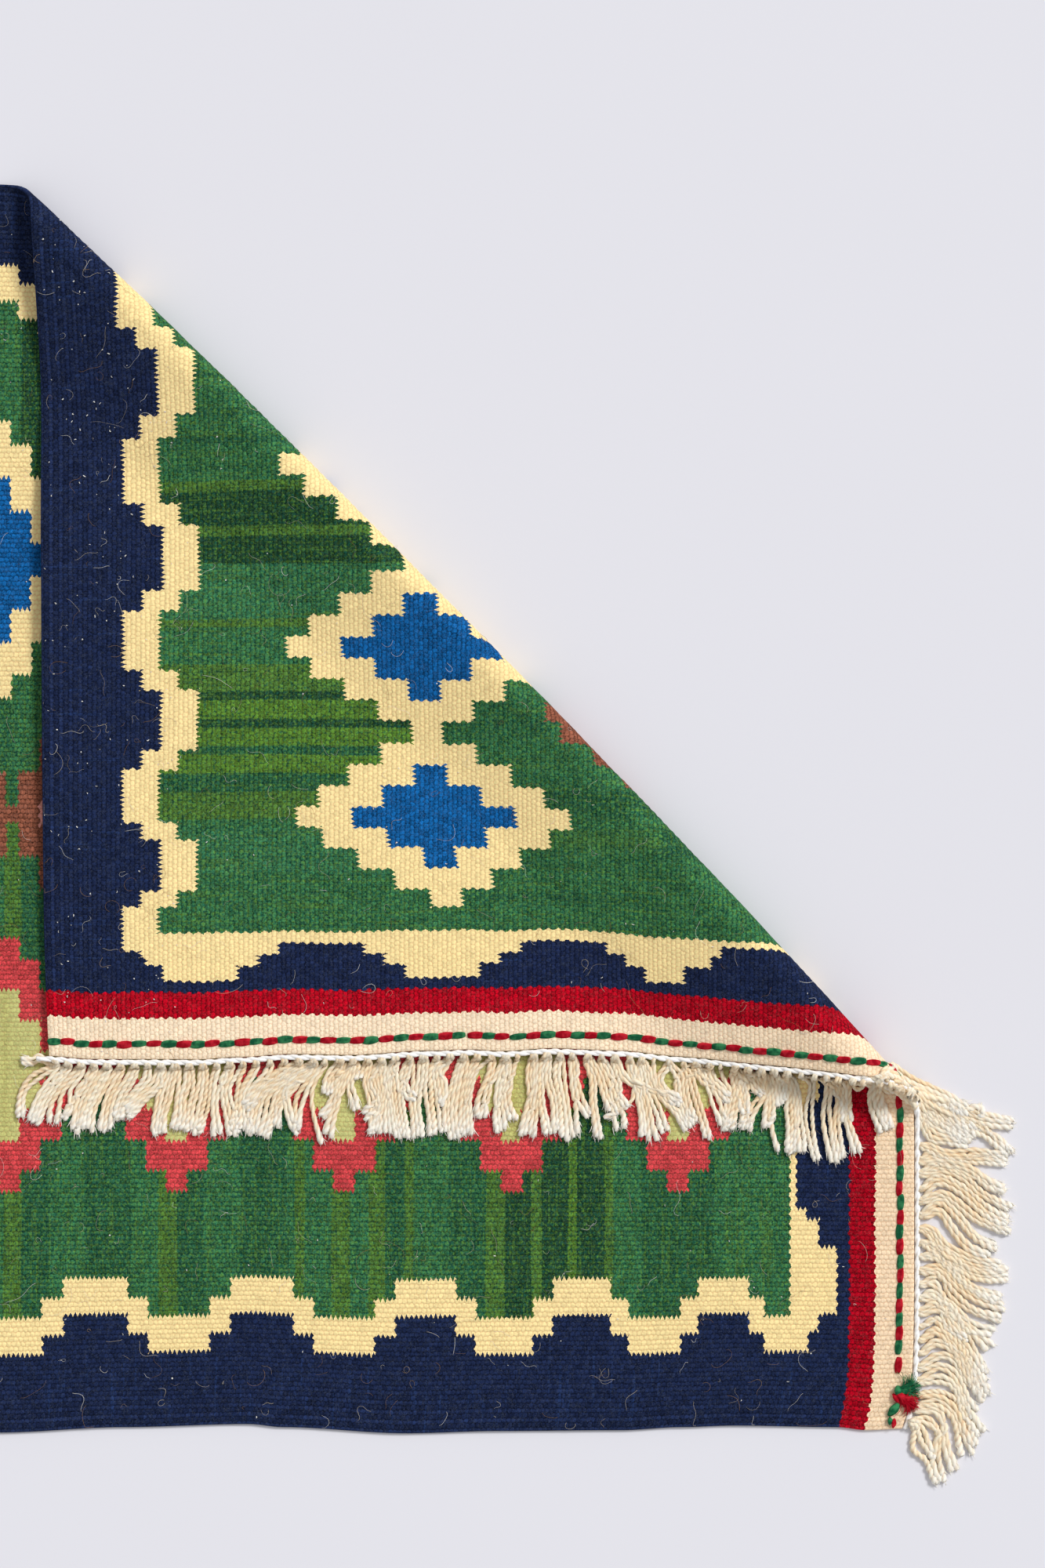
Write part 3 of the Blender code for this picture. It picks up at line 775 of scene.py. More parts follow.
def kilim_material():
    g = Graph("kilim_weave")
    at = RugPlace(g)
    wool = pattern_colour(g, at)
    paleness = g.paleness(wool)
    jitter = g.stray(at.flat, *JITTER)
    lattice = weave_lattice(g, at.u + jitter, at.v + jitter)
    bead, rib = lattice[:2]
    fuzz = g.noise(at.flat, FUZZ_SCALE, 3.0, 0.75)
    coarse = g.wisps(at.flat, *COARSE_WISPS)
    hair = g.most(coarse, g.wisps(g.vector(at.v, at.u, 6.0), *FINE_WISPS))
    height = bead * RELIEF_BEAD + rib * RELIEF_RIB + fuzz * RELIEF_FUZZ + hair * RELIEF_HAIR
    crevice = g.spread(bead, 0.0, CREVICE_TO, 1.0, 0.0)
    shade = wool_shade(g, at, lattice, fuzz, crevice, paleness)
    lighter = g.tinted(wool, 1.8 - 0.76 * paleness)
    lighter = g.mix(0.13 - 0.10 * paleness, lighter, WISP_GREY)
    colour = g.tinted(wool, g.most(shade * WOOL_LIGHT, LEAST_SHADE))
    # painted shade: the crevices of pale wool are tinted a warm, darker colour
    colour = g.mix(crevice * paleness * PAINTED_SHADE_WARMTH, colour, WARM_PAINTED_SHADE)
    colour = g.mix(hair * HAIR_SHARE, colour, lighter)
    return g.finish(colour, height, RELIEF_DEPTH, 0.9, 0.95)


# === cloth ===

EDGE_LINES = (0.0, 0.0004, 0.0011, 0.0022, 0.0036)
FINE_STEP = 0.0040
COARSE_STEP = 0.0115
FINE_TO = 0.62
LEAST_STEP = 0.001
PUCKER = 0.00022
PUCKER_LENGTHS = (0.024, 0.037, 0.055, 0.083, 0.13)


def grid_lines(stops):
    """Places from 0 to the last of some (place, step) stops, packed close at both ends."""
    lines, end = list(EDGE_LINES), stops[-1][0]
    for to, step in stops:
        start = lines[-1]
        count = max(1, round((to - start) / step))
        lines += [start + (to - start) * i / count for i in range(1, count + 1)]
    kept = [place for place in lines if place < end - EDGE_LINES[-1] - LEAST_STEP]
    return np.array(kept + [end - place for place in EDGE_LINES[::-1]])


def puckers(u, v):
    """Gentle unevenness of the cloth's face."""
    random = np.random.default_rng(SEED)
    height = np.zeros_like(u)
    for length in PUCKER_LENGTHS:
        for _ in range(3):
            heading = random.uniform(0, math.pi)
            phase = random.uniform(0, 2 * math.pi)
            along = u * math.cos(heading) + v * math.sin(heading)
            height += np.sin(2 * math.pi * along / length + phase) / 3
    return PUCKER * height


def rim_share(u, v):
    """Share of the full thickness, less within a rounded edge."""
    inset = np.minimum(np.minimum(u, RUG_LENGTH - u), np.minimum(v, RUG_WIDTH - v))
    depth = np.clip(inset / (CLOTH_THICK / 2), 0.0, 1.0)
    return np.sqrt(np.maximum(1 - (1 - depth) ** 2, 0.0))


def cells(index):
    """The corners of each cell of a grid of points."""
    corners = index[:-1, :-1], index[1:, :-1], index[1:, 1:], index[:-1, 1:]
    return np.stack(corners, -1).reshape(-1, 4)


def make_cloth(weave):
    """The cloth's two faces, joined along its rim, on a grid that is finer where it shows."""
    us = grid_lines(((FINE_TO, FINE_STEP), (RUG_LENGTH, COARSE_STEP)))
    vs = grid_lines(((RUG_WIDTH, FINE_STEP),))
    u, v = np.meshgrid(us, vs, indexing="ij")
    place, normal = surface(u, v)
    share = rim_share(u, v)
    half = (CLOTH_THICK / 2 * share)[..., None]
    lift = (puckers(u, v) * share)[..., None] * 0.5
    faces = place + (half + lift) * normal, place - (half - lift) * normal
    index = np.arange(u.size).reshape(u.shape)
    other = np.where(share == 0, index, index + u.size)
    quads = np.concatenate((cells(index), cells(other)[:, (0, 3, 2, 1)]))
    used, quads = np.unique(quads, return_inverse=True)
    points = np.concatenate(faces).reshape(-1, 3)
    cloth = new_mesh("kilim_cloth", points[used], quads.reshape(-1, 4).tolist())
    places = np.stack((u, v, 0 * u), -1).reshape(-1, 3)
    add_attribute(cloth.data, "rug_place", np.concatenate((places, places))[used])
    cloth.data.materials.append(weave)
    return cloth


# === fringe ===

CORD_PAIRS = 90
PAIR_PITCH = RUG_WIDTH / CORD_PAIRS
CORD_RADIUS = 0.00180
SIDE_CORD_RADIUS = 0.00205
CORD_THICKNESS, CORD_PACE = (0.86, 1.12), (0.75, 1.35)      # how much cords differ
CORD_RIPPLE, CORD_RIPPLES = 0.06, 40
PLY_SECTION = (1.0, 0.88, 0.72, 0.88) * 2
PLY_TURN = 0.0115          # length of cord for one turn of its two plies
CORD_POINTS = 22
# How thick a cord is along its length: it is loose at its tip
CORD_STOPS = (0.0, 0.03, 0.72, 0.88, 0.97, 1.0)
CORD_SWELL = (0.7, 1.00, 1.00, 1.22, 1.26, 0.85)
TWINING_OUT = 0.0020       # from the cloth's end to the middle of the white twining
FIBRE_RADIUS = 0.00034
FRAY_POINTS = 4
FRAY_START = (0.0028, 0.0090)       # back from the cord's tip
FRAY_LENGTH = (0.0028, 0.0058)
FRAY_ACROSS, FRAY_SPREAD, FRAY_BEND = 0.0021, 0.16, 0.0009
FRAY_RISE, FRAY_DIP = (0.0002, 0.0004), (-0.04, 0.10)
FRAY_SWELL = (0, 0.3, 1), (0.8, 1.0, 0.45)
FRAY_SECTION = (1.0,) * 3

# The folded end's cords, lock by lock, in millimetres: roots from and to along the end,
# cords, width at the tips, layer (1 over its neighbours, 2 over the roll too), then x and -y
# of each place that the lock passes through
FLAP_LOCKS = (
    (1, 3, 2, 3, 1, 188, 162, 183, 163, 177, 163),
    (3, 6, 2, 7, 0, 185, 173, 176, 183, 174, 200),
    (6, 11, 2, 4, 0, 192, 179, 186, 189, 182, 202),
    (11, 18, 2, 4, 0, 197, 179, 189, 190, 185, 203),
    (17, 24, 2, 6, 0, 202, 181, 197, 193, 195, 204),
    (24, 30, 2, 3, 0, 210, 183, 206, 193, 203, 200),
    (29, 38, 3, 7, 0, 218, 181, 213, 193, 211, 208),
    (38, 47, 3, 7, 0, 226, 181, 221, 193, 218, 208),
    (47, 56, 3, 7, 0, 235, 181, 231, 193, 230, 209),
    (56, 67, 3, 4, 0, 246, 179, 240, 190, 237, 201),
    (67, 80, 4, 6, 1, 260, 178, 251, 188, 242, 197),
    (76, 87, 4, 8, 0, 268, 181, 265, 193, 264, 210),
    (87, 93, 2, 4, 0, 278, 181, 276, 193, 274, 207),
    (93, 102, 3, 7, 0, 286, 181, 283, 193, 281, 208),
    (102, 111, 3, 7, 0, 294, 181, 292, 193, 289, 209),
    (111, 119, 2, 5, 0, 302, 181, 300, 193, 301, 210),
    (119, 127, 3, 7, 0, 308, 178, 308, 188, 313, 210),
    (127, 136, 2, 5, 0, 319, 177, 316, 187, 314, 207),
    (136, 145, 2, 5, 0, 326, 175, 320, 185, 322, 209),
    (144, 160, 3, 7, 0, 338, 173, 328, 186, 324, 210),
    (160, 174, 3, 5, 1, 346, 170, 332, 179, 318, 194),
    (161, 173, 3, 8, 0, 347, 175, 339, 189, 331, 211),
    (172, 176, 2, 6, 0, 352, 175, 342, 189, 339, 207),
    (174, 178, 2, 5, 0, 357, 174, 344, 186, 352, 208),
    (176, 180, 2, 3, 1, 363, 173, 355, 188, 354, 208),
    (179, 183, 1, 2, 1, 365, 176, 363, 193, 369, 215),
    (186, 197, 3, 6, 1, 382, 166, 374, 173, 373, 184),
    (192, 197, 2, 7, 0, 381, 176, 378, 191, 373, 211),
    (194, 197, 2, 4, 0, 381, 177, 376, 190, 368, 199),
    (197, 202, 2, 5, 1, 386, 174, 388, 185, 391, 195),
    (201, 207, 2, 3, 0, 393, 169, 392, 176),
    (208, 214, 2, 7, 0, 399, 178, 401, 191, 405, 210),
    (214, 219, 2, 5, 1, 404, 174, 407, 186, 396, 199),
    (216, 220, 2, 4, 0, 403, 176, 407, 187, 401, 209),
    (220, 227, 3, 5, 1, 412, 175, 414, 188, 419, 211),
    (223, 227, 2, 4, 0, 411, 179, 411, 192, 410, 209),
    (228, 237, 2, 4, 1, 417, 171, 422, 182, 429, 188),
    (237, 247, 3, 7, 0, 431, 173, 429, 187, 431, 212),
    (235, 240, 2, 4, 0, 420, 183, 421, 197, 423, 212),
    (247, 254, 2, 3, 0, 438, 173, 438, 189, 440, 212),
    (256, 266, 2, 4, 1, 444, 169, 447, 180, 447, 191),
    (254, 260, 2, 7, 0, 442, 173, 445, 188, 448, 209),
    (266, 272, 3, 7, 0, 456, 174, 452, 191, 455, 214),
    (272, 278, 2, 5, 0, 463, 174, 460, 190, 460, 210),
    (279, 287, 2, 4, 1, 466, 170, 463, 186, 463, 211),
    (287, 295, 3, 6, 0, 478, 175, 473, 189, 470, 199),
    (296, 303, 3, 7, 0, 488, 175, 482, 189, 484, 208),
    (300, 304, 2, 4, 1, 487, 177, 488, 189, 492, 202),
    (312, 317, 2, 4, 0, 503, 173, 505, 189, 504, 212),
    (315, 321, 2, 4, 0, 506, 177, 503, 193, 497, 211),
    (319, 326, 2, 5, 1, 509, 171, 509, 188, 516, 211),
    (325, 330, 2, 4, 0, 515, 175, 518, 189, 521, 208),
    (330, 337, 3, 8, 1, 522, 172, 524, 189, 528, 213),
    (337, 342, 2, 3, 0, 531, 174, 535, 187, 541, 198),
    (339, 342, 1, 2, 0, 534, 182, 533, 193, 536, 209),
    (348, 352, 2, 5, 0, 543, 174, 544, 191, 545, 212),
    (352, 356, 2, 3, 0, 547, 172, 552, 186, 557, 196),
    (358, 363, 2, 3, 0, 554, 174, 559, 187, 564, 193),
    (360, 368, 2, 7, 0, 557, 168, 558, 187, 560, 207),
    (368, 373, 2, 3, 1, 563, 174, 579, 180, 599, 189),
    (376, 382, 2, 6, 0, 571, 174, 575, 191, 581, 214),
    (379, 385, 2, 4, 0, 572, 177, 574, 192, 575, 211),
    (382, 386, 1, 3, 1, 571, 179, 568, 189, 551, 200),
    (382, 389, 2, 6, 0, 579, 174, 583, 191, 591, 209),
    (387, 393, 2, 5, 0, 585, 179, 594, 193, 604, 206),
    (399, 405, 2, 5, 0, 586, 174, 589, 183, 598, 192),
    (402, 409, 2, 4, 1, 600, 174, 600, 187, 606, 203),
    (412, 418, 2, 4, 0, 607, 175, 611, 193, 618, 213),
    (418, 424, 2, 3, 0, 613, 174, 622, 180, 632, 188),
    (424, 436, 2, 4, 1, 608, 168, 600, 178, 608, 204),
    (424, 432, 2, 4, 0, 616, 177, 623, 191, 630, 205),
    (431, 438, 2, 5, 0, 625, 174, 630, 187, 628, 207),
    (444, 450, 2, 4, 0, 635, 174, 635, 186, 629, 206),
    (448, 453, 2, 3, 1, 644, 175, 648, 181, 653, 185),
    (449, 455, 2, 4, 0, 641, 174, 640, 189, 641, 208),
    (457, 465, 2, 3, 1, 647, 171, 640, 177, 641, 197),
    (459, 466, 2, 4, 0, 652, 179, 649, 191, 640, 207),
    (465, 470, 2, 4, 0, 656, 179, 657, 193, 654, 207),
    (468, 472, 1, 5, 1, 656, 187, 657, 203, 662, 221),
    (471, 479, 3, 5, 0, 662, 174, 664, 183, 665, 191),
    (477, 483, 3, 6, 0, 669, 179, 671, 197, 671, 222),
    (483, 489, 2, 5, 1, 670, 176, 675, 192, 677, 222),
    (491, 498, 2, 6, 0, 684, 176, 683, 197, 687, 227),
    (502, 508, 2, 7, 0, 694, 175, 693, 197, 699, 228),
    (508, 514, 2, 6, 0, 701, 182, 700, 202, 703, 226),
    (509, 515, 2, 4, 1, 698, 175, 702, 186, 706, 202),
    (512, 517, 2, 5, 1, 706, 177, 707, 197, 714, 223),
    (520, 522, 1, 2, 1, 709, 174, 710, 180, 716, 182, 719, 178, 717, 172, 713, 171),
)
SIDE_LOCKS = (
    (528, 536, 4, 12, 1, 724, 176, 725, 189, 732, 207),
    (536, 546, 4, 7, 2, 732, 167, 746, 176, 770, 189, 783, 197),
    (546, 551, 2, 2, 1, 729, 173, 731, 180, 735, 182, 737, 178),
    (546, 555, 4, 8, 2, 732, 175, 743, 182, 762, 196, 785, 211),
    (551, 559, 3, 7, 2, 743, 181, 760, 190, 778, 201, 791, 208),
    (559, 566, 3, 6, 0, 757, 186, 775, 194, 793, 201, 813, 203),
    (560, 562, 1, 2, 1, 770, 189, 783, 196, 787, 192, 793, 192, 795, 196, 790, 199),
    (564, 570, 3, 6, 0, 760, 193, 782, 203, 798, 211, 812, 223),
    (569, 578, 3, 6, 0, 762, 202, 775, 207, 785, 213),
    (578, 588, 3, 6, 0, 760, 211, 772, 213, 785, 216),
    (615, 622, 3, 5, 0, 760, 219, 770, 224, 787, 226, 808, 227),
    (623, 628, 2, 5, 0, 762, 222, 774, 227, 792, 223, 809, 222),
    (630, 635, 3, 6, 0, 765, 228, 782, 232, 798, 243, 808, 247),
    (636, 641, 2, 5, 0, 767, 233, 782, 239, 795, 250, 813, 257),
    (644, 650, 3, 7, 0, 765, 239, 780, 247, 796, 261, 810, 267),
    (653, 657, 2, 6, 0, 767, 249, 780, 254, 792, 267, 811, 273),
    (658, 662, 2, 5, 0, 765, 252, 777, 262, 788, 275, 804, 283),
    (663, 666, 2, 4, 0, 767, 260, 774, 271, 783, 283, 798, 289),
    (669, 676, 4, 8, 1, 762, 274, 769, 285, 784, 292, 806, 296),
    (679, 684, 3, 8, 0, 765, 286, 778, 295, 792, 302, 810, 299),
    (687, 692, 3, 8, 0, 764, 287, 773, 294, 785, 308, 804, 316),
    (695, 699, 2, 6, 0, 767, 295, 775, 306, 789, 315, 807, 322),
    (701, 705, 2, 6, 0, 766, 300, 775, 314, 790, 325, 806, 330),
    (706, 710, 2, 5, 1, 763, 306, 768, 320, 772, 336, 785, 343),
    (712, 716, 2, 6, 0, 764, 312, 775, 324, 787, 335, 800, 337),
    (718, 722, 2, 7, 0, 765, 319, 778, 328, 792, 340, 799, 349),
    (725, 730, 2, 7, 0, 765, 321, 776, 333, 787, 346, 795, 365),
    (733, 738, 2, 6, 0, 765, 329, 775, 341, 785, 359, 795, 372),
    (741, 745, 2, 6, 1, 764, 336, 774, 345, 783, 362, 794, 378),
    (748, 753, 2, 7, 0, 763, 344, 774, 348, 785, 361, 796, 380),
    (756, 761, 2, 6, 0, 765, 353, 776, 355, 787, 369, 798, 376),
    (763, 767, 2, 6, 0, 765, 360, 776, 364, 783, 379, 790, 391),
    (770, 774, 2, 7, 1, 766, 368, 778, 374, 783, 389, 792, 404),
    (777, 781, 2, 7, 0, 767, 377, 779, 385, 783, 399, 788, 412),
    (783, 787, 2, 6, 0, 765, 382, 775, 391, 779, 405, 783, 417),
    (788, 791, 2, 6, 0, 763, 388, 770, 398, 771, 413, 775, 427),
    (792, 795, 2, 5, 0, 759, 395, 766, 405, 763, 419, 769, 434),
    (795, 797, 2, 8, 0, 755, 404, 758, 410, 763, 416),
    (798, 799, 1, 1, 0, 751, 405, 750, 413, 757, 421, 767, 435),
)
ROOT_GATHER = 0.60         # how far a pair's cords are drawn together at the root
ROOT_RUN = 0.0045          # the stretch in which a cord leaves the end squarely
ROOT_RUN_OVER_ROLL = 0.4   # share of it that is left in layer 2
ROOT_INSET = 0.0012        # no cord starts nearer to a corner
LOCK_JITTER = 0.0009
LAYER_LIFT = 0.0065
WAVES_EACH, WAVE_SIZE = (0.8, 2.2), (0.0001, 0.0013)

# How cords that are laid down come to rest, in each round: how far they sink, the share of
# the way that they spring back, and how they push each other apart
SETTLE_ROUNDS, SETTLE_NEIGHBOURS = 70, 16
SINK, SPRING = 0.00045, 0.16
CORD_TOUCH = 2 * CORD_RADIUS * 0.80
PUSH_SHARE, PUSH_MOST = 0.22, 0.0007
SMOOTHING = 0.3
START_LIFT = 0.005         # the highest that cords start over their own layer
RESTING = CORD_RADIUS * 0.8

# (distance from the folded long side, reach, heading clockwise from +X in degrees)
FAR_END_FAN = (
    (0.000, 0.048, 204), (0.060, 0.053, 193), (0.180, 0.057, 184), (0.330, 0.057, 172),
    (0.450, 0.058, 183), (0.600, 0.057, 190), (0.720, 0.055, 170), (0.800, 0.047, 152),
)
ROOT_APART, ROOT_STRAY = 0.0017, 0.0004
NEW_LOCK_CHANCE = 0.34
FAN_TURN, FAN_CORD_TURN, FAN_REACH = 7.0, 3.0, 0.05     # how much locks and cords stray
FAN_GATHER, FAN_BEND = (0.15, 0.60), (0.20, 0.45)

CLOTH_UNDER = RUG_LENGTH / 2 + 0.0035       # the fringe lies on cloth out to here
UNDER_FOLD = 0.010         # and out to here past the fold's chord
DROP_WIDTH = 0.003
# The roll's heights near the folded end are kept in square cells from one corner, for these
# stretches of the rug
ROLL_CELL, ROLL_CELLS = 0.0015, 140
ROLL_CELL_FROM = np.array((0.60, -0.28))
ROLL_STEP = 0.0006
ROLL_U, ROLL_V = (0.0, 0.12, ROLL_STEP), (0.47, 0.64, ROLL_STEP)

COTTON = srgb(255, 240, 214)
COTTON_TAN = srgb(254, 227, 189)
COTTON_TIP = srgb(255, 247, 232)
# painted shade in the groove between a cord's two plies
COTTON_GROOVE_SHADE = srgb(226, 180, 130)
WHITE = srgb(255, 253, 250)


class End:
    """One end of the rug, with distances out from it."""

    def __init__(self, folded, seed):
        self.folded = folded
        self.name = "folded_end" if folded else "far_end"
        self.random = np.random.default_rng(SEED + seed)

    def u(self, out):
        return -out if self.folded else RUG_LENGTH + out

    def spot(self, out, v):
        return placed(self.u(out), v)

    def outward(self, v):
        return unit(self.spot(0.0025, v) - self.spot(0.0015, v))


def roll_cells(place):
    return ((place - ROLL_CELL_FROM) / ROLL_CELL).astype(int)


def roll_map():
    """Heights of the roll's top near the folded end, in square cells."""
    u, v = np.meshgrid(np.arange(*ROLL_U), np.arange(*ROLL_V))
    place = placed(u, v).reshape(-1, 3)
    cell = roll_cells(place[:, :2])
    inside = ((cell >= 0) & (cell < ROLL_CELLS)).all(axis=1)
    heights = np.zeros((ROLL_CELLS, ROLL_CELLS))
    top = place[:, 2] + CLOTH_THICK / 2
    np.maximum.at(heights, tuple(cell[inside].T), top[inside])
    return heights


ROLL_MAP = roll_map()


def ground_height(place):
    """Height of what the fringe lies on: the cloth, or the floor past its edges."""
    place = place[..., :2]
    past_fold = (place - FOLD_MIDDLE) @ OUTWARD
    inset = np.minimum(CLOTH_UNDER - np.abs(place[..., 0]), place[..., 1] + RUG_WIDTH / 2)
    inset = np.minimum(inset, UNDER_FOLD - past_fold)
    cell = np.clip(roll_cells(place), 0, ROLL_CELLS - 1)
    roll = ROLL_MAP[cell[..., 0], cell[..., 1]]
    return np.maximum(CLOTH_THICK * eased(inset / DROP_WIDTH), roll)


def beside(way):
    """Level directions square to some ways."""
    return np.stack((-way[..., 1], way[..., 0], 0 * way[..., 0]), -1)


def evenly(points, count):
    """A smooth curve through points, as so many points evenly far apart."""
    fine = resampled(points[None], 12 * len(points))
    length = run_lengths(fine)[0]
    wanted = np.linspace(0, length[-1], count)
    return np.stack([np.interp(wanted, length, fine[0, :, axis]) for axis in range(3)], -1)


def lock_paths(end, lock):
    """The cords of one lock, side by side through the places it passes."""
    v_from, v_to, cords, tip_width, layer, *places = lock
    share = (np.arange(cords) + 0.5) / cords - 0.5
    v = ((v_from + v_to) / 2 + share * (v_to - v_from)) / 1000
    pair = (np.floor(v / PAIR_PITCH) + 0.5) * PAIR_PITCH
    v = np.clip(pair + (v - pair) * (1 - ROOT_GATHER), ROOT_INSET, RUG_WIDTH - ROOT_INSET)
    root = end.spot(TWINING_OUT, v)
    middle = root.mean(axis=0)
    stops = np.zeros((len(places) // 2, 3))
    stops[:, :2] = np.reshape(places, (-1, 2)) / (1000, -1000)
    stops[:, 2] = ground_height(stops) + CORD_RADIUS
    fall = (1 - np.arange(1, len(stops) + 1) / len(stops)) ** 2
    stops[:, 2] += fall * max(middle[2] - stops[0, 2], 0.0)
    way = unit(np.gradient(np.vstack((middle[None], stops))[:, :2], axis=0))[1:]
    sideways = beside(way)
    if np.dot(sideways[0, :2], end.spot(TWINING_OUT, v[-1] + 0.001)[:2] - middle[:2]) < 0:
        sideways = -sideways
    width = np.linspace(v_to - v_from, tip_width, len(stops) + 1)[1:] / 1000
    run_share = ROOT_RUN_OVER_ROLL if layer == 2 else 1.0
    made = []
    for i in range(cords):
        through = stops + sideways * (share[i] * width)[:, None]
        through[:, :2] += end.random.normal(0, LOCK_JITTER, (len(stops), 2))
        leave = root[i] + ROOT_RUN * end.outward(v[i]) * run_share
        made.append(evenly(np.vstack((root[i], leave, through)), CORD_POINTS))
    return np.array(made)


def charted_paths(end, locks):
    """(paths, how high each starts) of the cords of some locks."""
    paths = [lock_paths(end, lock) for lock in locks]
    lift = np.repeat([lock[4] * LAYER_LIFT for lock in locks], [lock[2] for lock in locks])
    return waved(end, np.concatenate(paths)), lift


def waved(end, paths):
    """The cords with a slight wave of their own."""
    each = (len(paths), 1, 1)
    t = np.linspace(0, 1, CORD_POINTS)[None, :, None]
    sideways = beside(unit(paths[:, -1] - paths[:, 0]))[:, None, :]
    waves = end.random.uniform(*WAVES_EACH, each)
    phase = end.random.uniform(0, 2 * math.pi, each)
    depth = end.random.uniform(*WAVE_SIZE, each)
    return paths + sideways * depth * np.sin(2 * math.pi * waves * t + phase) * eased(t * 4)


def fanned_paths(end, fan):
    """(paths, how high each starts) of cords that hang evenly, by a table of headings."""
    random, count = end.random, 2 * CORD_PAIRS
    v = (np.repeat(np.arange(CORD_PAIRS), 2) + 0.5) * PAIR_PITCH
    v += np.tile((-1, 1), CORD_PAIRS) * ROOT_APART + random.normal(0, ROOT_STRAY, count)
    v = np.clip(v, ROOT_INSET, RUG_WIDTH - ROOT_INSET)
    lock = np.cumsum(random.random(count) < NEW_LOCK_CHANCE)
    locks = lock.max() + 1
    heading = from_table(fan, v, 2) + random.normal(0, FAN_TURN, locks)[lock]
    heading = np.radians(heading + random.normal(0, FAN_CORD_TURN, count))
    reach = (from_table(fan, v) * (1 + random.normal(0, FAN_REACH, locks)[lock]))[:, None]
    root = end.spot(TWINING_OUT, v)
    tip = root + np.stack((np.cos(heading), -np.sin(heading), 0 * heading), -1) * reach
    middle = np.zeros((locks, 3))
    np.add.at(middle, lock, tip)
    middle /= np.maximum(np.bincount(lock), 1)[:, None]
    tip += (middle[lock] - tip) * random.uniform(*FAN_GATHER, (count, 1))
    control = root + random.uniform(*FAN_BEND, (count, 1)) * reach * end.outward(v)
    control[:, 2] = root[:, 2] + 0.3 * (control[:, 2] - root[:, 2])
    tip[:, 2] = ground_height(tip) + CORD_RADIUS
    t = np.linspace(0, 1, CORD_POINTS)[None, :, None]
    root, control, tip = root[:, None], control[:, None], tip[:, None]
    paths = (1 - t) ** 2 * root + 2 * t * (1 - t) * control + t * t * tip
    return waved(end, paths), np.zeros(count)


def pushes(laid):
    """How touching cords push each other apart."""
    push = np.zeros_like(laid)
    for step in range(1, SETTLE_NEIGHBOURS + 1):
        gap = laid[step:, :, None, :] - laid[:-step, None, :, :]
        gap[..., 2] += np.where(np.abs(gap[..., 2]) < 2e-4, 2e-4, 0.0)
        distance = np.linalg.norm(gap, axis=-1)
        overlap = np.maximum(CORD_TOUCH - distance, 0.0) / np.maximum(distance, 1e-6)
        shift = PUSH_SHARE * gap * overlap[..., None]
        push[step:] += shift.sum(axis=2)
        push[:-step] -= shift.sum(axis=1)
    size = np.linalg.norm(push, axis=-1, keepdims=True)
    return push * np.minimum(1.0, PUSH_MOST / np.maximum(size, 1e-9))


def settle(end, paths, lift):
    """Lays the cords down over each other: they sink, and push apart where they meet."""
    laid = paths.copy()
    start = lift + end.random.uniform(0.0, START_LIFT, len(laid))
    laid[..., 2] += start[:, None] * eased(np.linspace(0, 3, CORD_POINTS))
    free = np.ones(CORD_POINTS)
    free[:2] = 0.0
    for _ in range(SETTLE_ROUNDS):
        laid[..., 2] -= SINK * free
        laid[..., :2] += SPRING * (paths[..., :2] - laid[..., :2])
        laid += pushes(laid) * free[:, None]
        inner = 0.5 * laid[:, 1:-1] + 0.25 * (laid[:, :-2] + laid[:, 2:])
        laid[:, 2:-1] = (1 - SMOOTHING) * laid[:, 2:-1] + SMOOTHING * inner[:, 1:]
        floor = ground_height(laid) + RESTING
        laid[:, 2:, 2] = np.maximum(laid[:, 2:, 2], floor[:, 2:])
    return laid


def resampled(paths, rings):
    """The same curves through more points, smoothly."""
    count = paths.shape[1]
    where = np.linspace(0, count - 1, rings)
    low = np.clip(where.astype(int), 0, count - 2)
    t = (where - low)[None, :, None]
    before, after = np.clip(low - 1, 0, None), np.clip(low + 2, None, count - 1)
    p0, p1, p2, p3 = paths[:, before], paths[:, low], paths[:, low + 1], paths[:, after]
    return 0.5 * (
        2 * p1 + (p2 - p0) * t + (2 * p0 - 5 * p1 + 4 * p2 - p3) * t**2
        + (3 * p1 - p0 - 3 * p2 + p3) * t**3
    )


def run_lengths(paths):
    """Length of each path up to each of its points."""
    steps = np.linalg.norm(np.diff(paths, axis=1), axis=-1)
    return np.concatenate((np.zeros((len(paths), 1)), np.cumsum(steps, axis=1)), axis=1)


def make_cords(end, name, paths, cotton, rings, radius):
    """Two-ply cords along the paths, whose tips come undone."""
    paths = resampled(paths, rings)
    length = run_lengths(paths)
    along = length / length[:, -1:]
    random, each = end.random, (len(paths), 1)
    thick = radius * random.uniform(*CORD_THICKNESS, each)
    ripple = np.sin(along * CORD_RIPPLES + random.uniform(0, 6, each))
    radii = thick * (1 + CORD_RIPPLE * ripple)
    radii = radii * np.interp(along, CORD_STOPS, CORD_SWELL)
    pace = PLY_TURN * random.uniform(*CORD_PACE, each)
    turn = 2 * math.pi * length / pace + random.uniform(0, 6, each)
    name, tone = "fringe_cords_" + name, random.random(len(paths))
    return make_strands(name, cotton, paths, radii, PLY_SECTION, tone, along, turn)


